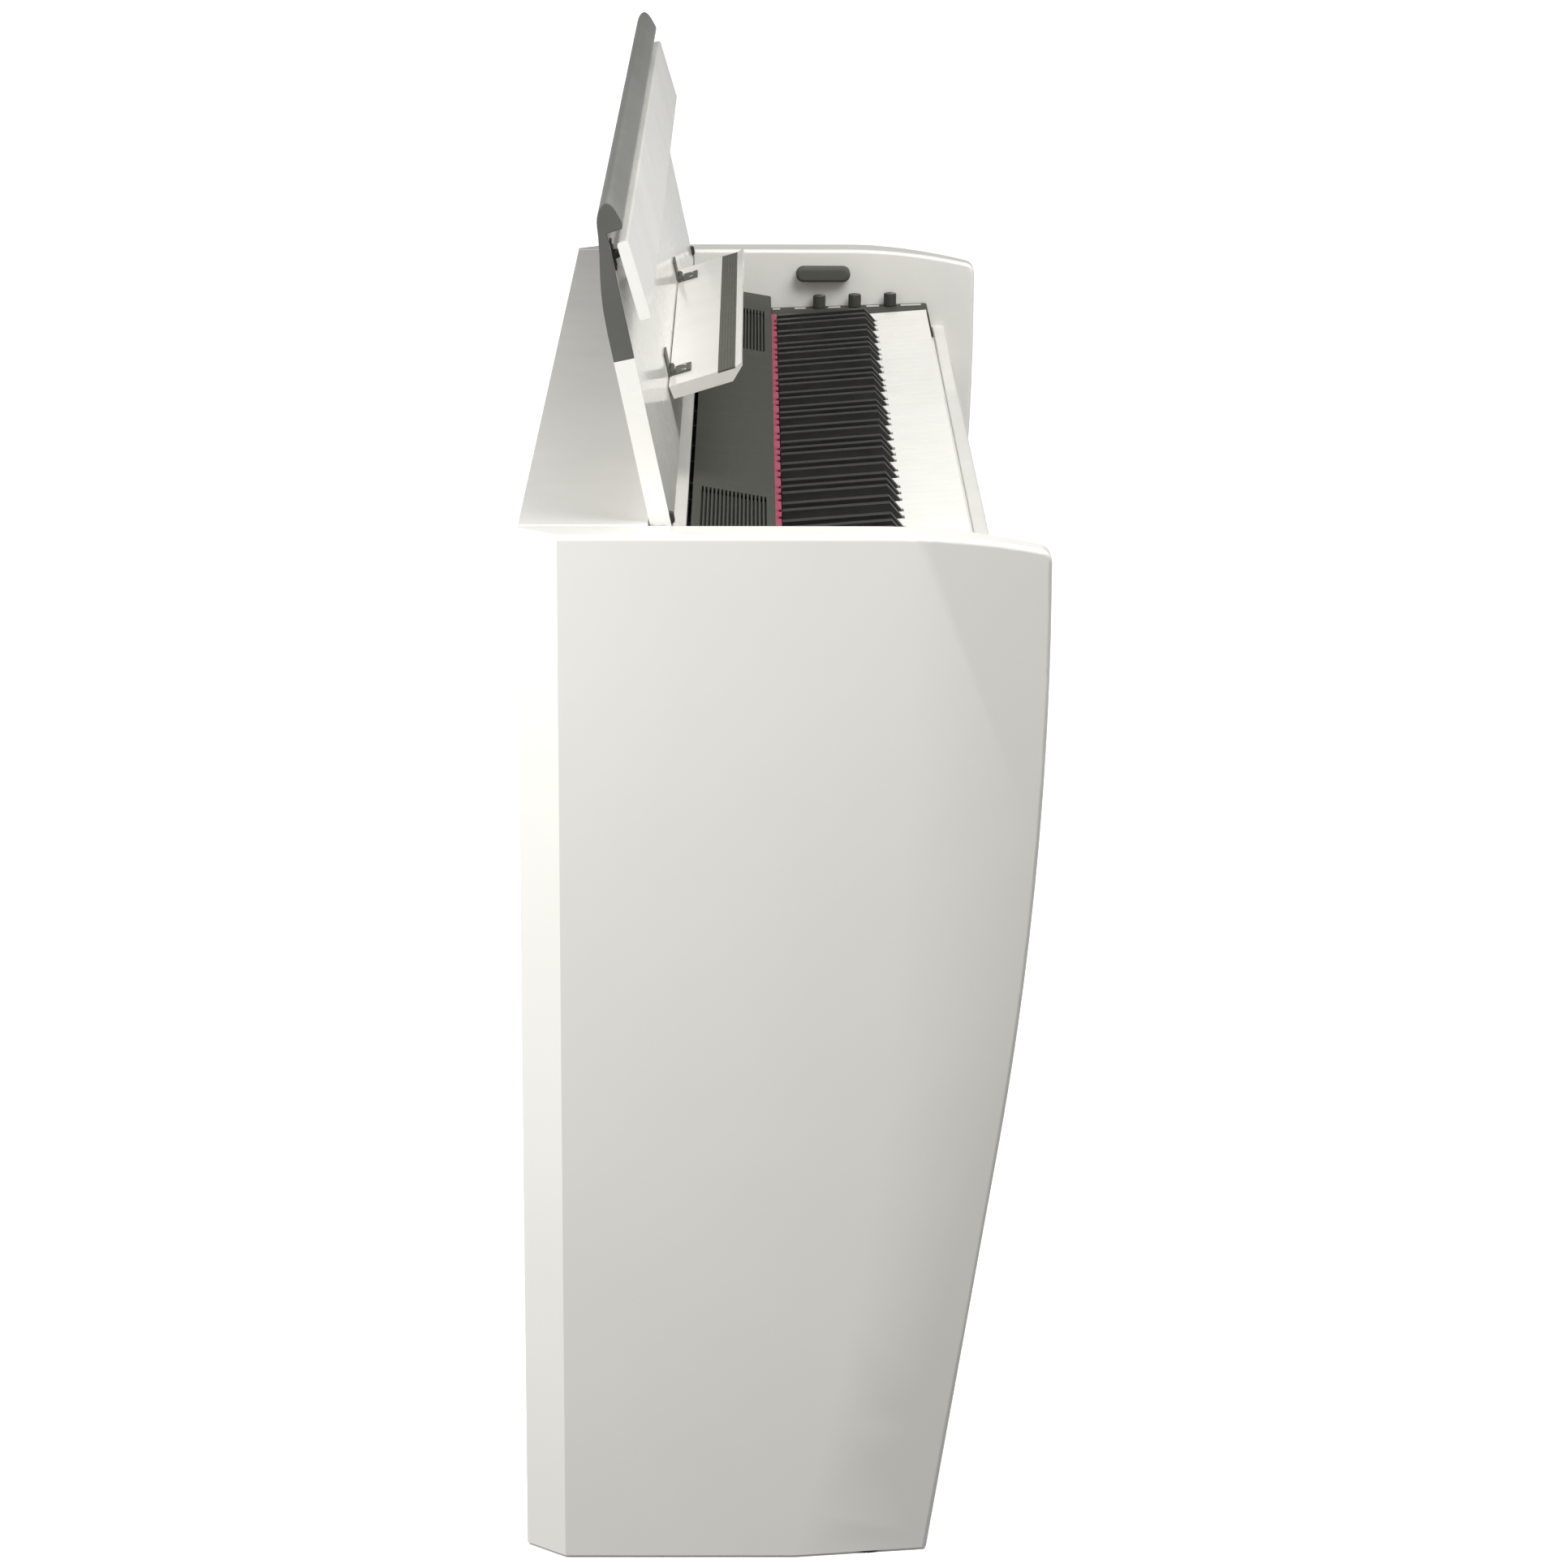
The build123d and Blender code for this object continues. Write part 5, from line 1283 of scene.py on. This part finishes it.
# ============================== music shelf ==============================
@dataclass(frozen=True)
class MusicShelf:
    """Fold-out shelf with its ribbed grip strip and two butt hinges."""

    shop: Cabinetmaker
    rise: float = 17.0
    standoff: float = 2.7
    strip: Pair = (38.7, 53.1)
    half: float = 303.0
    ribs: int = 6
    hinge_x: float = 242.0
    axis_r: float = 105.53
    axis_z: float = 830.03
    strip_deep: float = 1.2
    strip_proud: float = 0.3
    rib_tall: float = 0.45
    leaf_thick: float = 1.5
    screw_x: float = 11.0
    screw_along: float = 10.5

    def build(self) -> None:
        """Build the shelf's pieces in order."""
        shop = self.shop
        shop.worked_up("music_shelf", "lacquered_music_shelf", "shelf", WHITE_LACQUER, 0.7)
        self.grip()
        for node, name, body in (
            ("shelf_hinge_lid_leaves", "hinge_leaves_on_lid", "lid"),
            ("shelf_hinge_shelf_leaves", "hinge_leaves_on_shelf", "shelf"),
        ):
            shop.worked_up(node, name, body, HINGE_STEEL, 0.25)
        self.screws()

    def axis(self) -> Vector:
        """Give the hinge axis at X = 0."""
        return self.shop.at(0, self.axis_r, self.axis_z)

    def place(self, x: float, along: float, above: float) -> Vector:
        """Give the place of a point of the open shelf.

        Args:
            x: Millimetres along the axis, from the middle.
            along: Millimetres out from the hinge axis.
            above: Millimetres above the shelf's hinge line.

        Returns:
            The place, in metres.
        """
        turn = math.radians(self.rise)
        out = along * math.cos(turn) - above * math.sin(turn)
        up = along * math.sin(turn) + above * math.cos(turn)
        return self.axis() + Vector((x, -out, up)) * MM

    def grip(self) -> None:
        """Rubber strip let into the shelf, with ribs along its length."""
        start, end = self.strip
        base = -self.standoff - self.strip_deep
        proud = -self.standoff + self.strip_proud
        valley = proud - self.rib_tall
        line = [self.place(0, start, base), self.place(0, end, base)]
        step = (end - start) / self.ribs
        for n in range(self.ribs):
            for share, above in ((0.0, valley), (0.25, proud), (0.7, proud)):
                line.append(self.place(0, end - (n + share) * step, above))
        line.append(self.place(0, start, valley))
        corners = [(point.y, point.z) for point in line]
        made = section_bar(corners, -self.half * MM, self.half * MM)
        self.shop.file(
            ease(made, 0.0, 1, 15.0), "ribbed_grip_strip", "shelf", DARK_RUBBER,
            ["shelf_grip_strip"],
        )

    def screws(self) -> None:
        """Two cross-head screws in each hinge leaf on the shelf."""
        face = self.leaf_thick - self.standoff
        places = [
            self.place(middle + x, self.screw_along, face)
            for middle in (-self.hinge_x, self.hinge_x)
            for x in (-self.screw_x, self.screw_x)
        ]
        turn = math.radians(self.rise)
        facing = Vector((0, math.sin(turn), math.cos(turn)))
        head = Screw(radius=2.3, rise=0.5, recess=0.4)
        self.shop.file(head.row(True, places, facing), "shelf_hinge_screws", "shelf", BRIGHT_STEEL)


# ============================== pedals and electronics ==============================
@dataclass(frozen=True)
class Underside:
    """Pedal unit, connectors and the boards inside."""

    shop: Cabinetmaker

    def build(self) -> None:
        """Build the pedal unit, then dress what is kept."""
        shop = self.shop
        shop.worked_up("pedal_box", "lacquered_pedal_box", "cabinet", WHITE_LACQUER, 0.8)
        shop.worked_up("pedal_axle", "pedal_axle_rod", "cabinet", BRIGHT_STEEL, 0.4)
        for name in ("soft", "sostenuto", "damper"):
            node = f"pedal_{name}"
            shop.worked_up(node, f"brass_{node}", node, POLISHED_BRASS, 0.5, 40.0)
        shop.worked_up("connector_plate", "zinc_connector_plate", "cabinet", ZINC_STEEL, 0.2)
        shop.worked_up("connector_sockets", "moulded_sockets", "cabinet", BLACK_ABS, 0.2)
        shop.dress("main_board", CIRCUIT_BOARD)
        shop.dress("amplifier_board", ZINC_STEEL)


# ============================== studio ==============================
@dataclass(frozen=True)
class Studio:
    """Pale floor, soft lights and the camera, at the bass end and a little above."""

    camera_place: tuple[float, float, float] = (-4.3167, 0.02265, 1.5402)
    pitch: float = 14.5208
    yaw: float = -0.359
    roll: float = 0.14
    lens: float = 117.38
    floor_size: float = 60.0

    def build(self) -> None:
        """Set up the floor, the sky, the lights and the camera."""
        self.camera()
        self.floor()
        self.sky()
        self.lights()

    def camera(self) -> None:
        """Stand the camera where the view is taken from."""
        data = bpy.data.cameras.new("view_camera")
        data.lens = self.lens
        data.clip_end = 200.0
        camera = bpy.data.objects.new("view_camera", data)
        bpy.context.scene.collection.objects.link(camera)
        pitch, yaw = math.radians(self.pitch), math.radians(self.yaw)
        forward = Vector(
            (math.cos(pitch) * math.cos(yaw), math.cos(pitch) * math.sin(yaw), -math.sin(pitch))
        )
        turn = forward.to_track_quat("-Z", "Y").to_matrix()
        turn = turn @ Matrix.Rotation(math.radians(self.roll), 3, "Z")
        camera.matrix_world = Matrix.Translation(self.camera_place) @ turn.to_4x4()
        bpy.context.scene.camera = camera

    def floor(self) -> None:
        """Lay a seamless pale floor that gives the piano no light from below."""
        drop_selection()
        bpy.ops.mesh.primitive_plane_add(size=self.floor_size, location=(0, 0, -0.0005))
        made = bpy.context.object
        made.name = "studio_floor"
        finish = Finish(
            "matt_white_paper", "white_laminate", "FFFFFF", "FCFCFC", Grain.FELTED, 40.0, 0.0,
            (0.9, 0.95), patch_mm=900.0,
        )
        made.data.materials.append(finish.material())
        made.visible_diffuse = False
        made.visible_glossy = False

    def sky(self) -> None:
        """Surround the room with a dim white, brighter low down beyond the treble end."""
        world = bpy.data.worlds.new("studio_room")
        bpy.context.scene.world = world
        world.use_nodes = True
        tree = world.node_tree
        tree.nodes.clear()
        place = add_node(tree, "ShaderNodeTexCoord").outputs["Generated"]
        parts = add_node(tree, "ShaderNodeSeparateXYZ", None, {0: place}).outputs
        shares = []
        for axis, (dark, light) in (("X", (0.2, 0.8)), ("Z", (0.05, -0.2))):
            settings = {
                "interpolation_type": "SMOOTHSTEP",
                "From Min": dark,
                "From Max": light,
                "To Min": 0.0,
                "To Max": 1.0,
            }
            shares.append(
                add_node(tree, "ShaderNodeMapRange", settings, {"Value": parts[axis]})
                .outputs["Result"]
            )
        share = add_node(
            tree, "ShaderNodeMath", {"operation": "MULTIPLY"}, {0: shares[0], 1: shares[1]}
        ).outputs[0]
        tone = add_node(
            tree,
            "ShaderNodeMix",
            {"data_type": "RGBA", 6: (0.28, 0.28, 0.275, 1), 7: (0.68, 0.68, 0.67, 1)},
            {0: share},
        ).outputs[2]
        glow = add_node(tree, "ShaderNodeBackground", {"Strength": 1.0}, {"Color": tone})
        add_node(tree, "ShaderNodeOutputWorld", None, {"Surface": glow.outputs[0]})

    def lamp(
        self, name: str, place: Sequence[float], aim: Sequence[float], size: float, watts: float
    ) -> bpy.types.Object:
        """Hang one soft square light.

        Args:
            name: Its name.
            place: Where it hangs.
            aim: What it points at.
            size: Its side, in metres.
            watts: Its power.

        Returns:
            The light.
        """
        data = bpy.data.lights.new(name, "AREA")
        data.size = size
        data.energy = watts
        made = bpy.data.objects.new(name, data)
        bpy.context.scene.collection.objects.link(made)
        made.location = place
        made.rotation_euler = (Vector(aim) - Vector(place)).to_track_quat("-Z", "Y").to_euler()
        made.visible_camera = False
        return made

    def lights(self) -> None:
        """Hang the key light behind the bass end, a fill over the front and a floor wash."""
        self.lamp("key_softbox", (-1.66, 1.38, 1.5), (-0.7, 0.0, 0.5), 0.9, 39.0)
        self.lamp("front_softbox", (-0.45, -0.75, 2.4), (0.15, -0.05, 0.7), 1.6, 47.0)
        wash = bpy.data.lights.new("floor_wash", "SUN")
        wash.energy = 3.4
        wash.angle = math.radians(70)
        made = bpy.data.objects.new("floor_wash", wash)
        bpy.context.scene.collection.objects.link(made)
        lit = bpy.data.collections.new("floor_only")
        lit.objects.link(bpy.data.objects["studio_floor"])
        made.light_linking.receiver_collection = lit


def main() -> None:
    logging.basicConfig(level=logging.INFO, format="%(message)s")
    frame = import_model()
    low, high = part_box("side_panel_treble")
    shop = Cabinetmaker(frame["nodes"], high.y, low.x)
    bpy.context.scene.view_settings.view_transform = "Standard"
    Studio().build()
    for part in (
        Cabinet(shop),
        Keyboard(shop),
        ControlArea(shop),
        Lid(shop),
        MusicShelf(shop),
        Underside(shop),
    ):
        LOG.info("building %s", type(part).__name__)
        part.build()


if __name__ == "__main__":
    main()
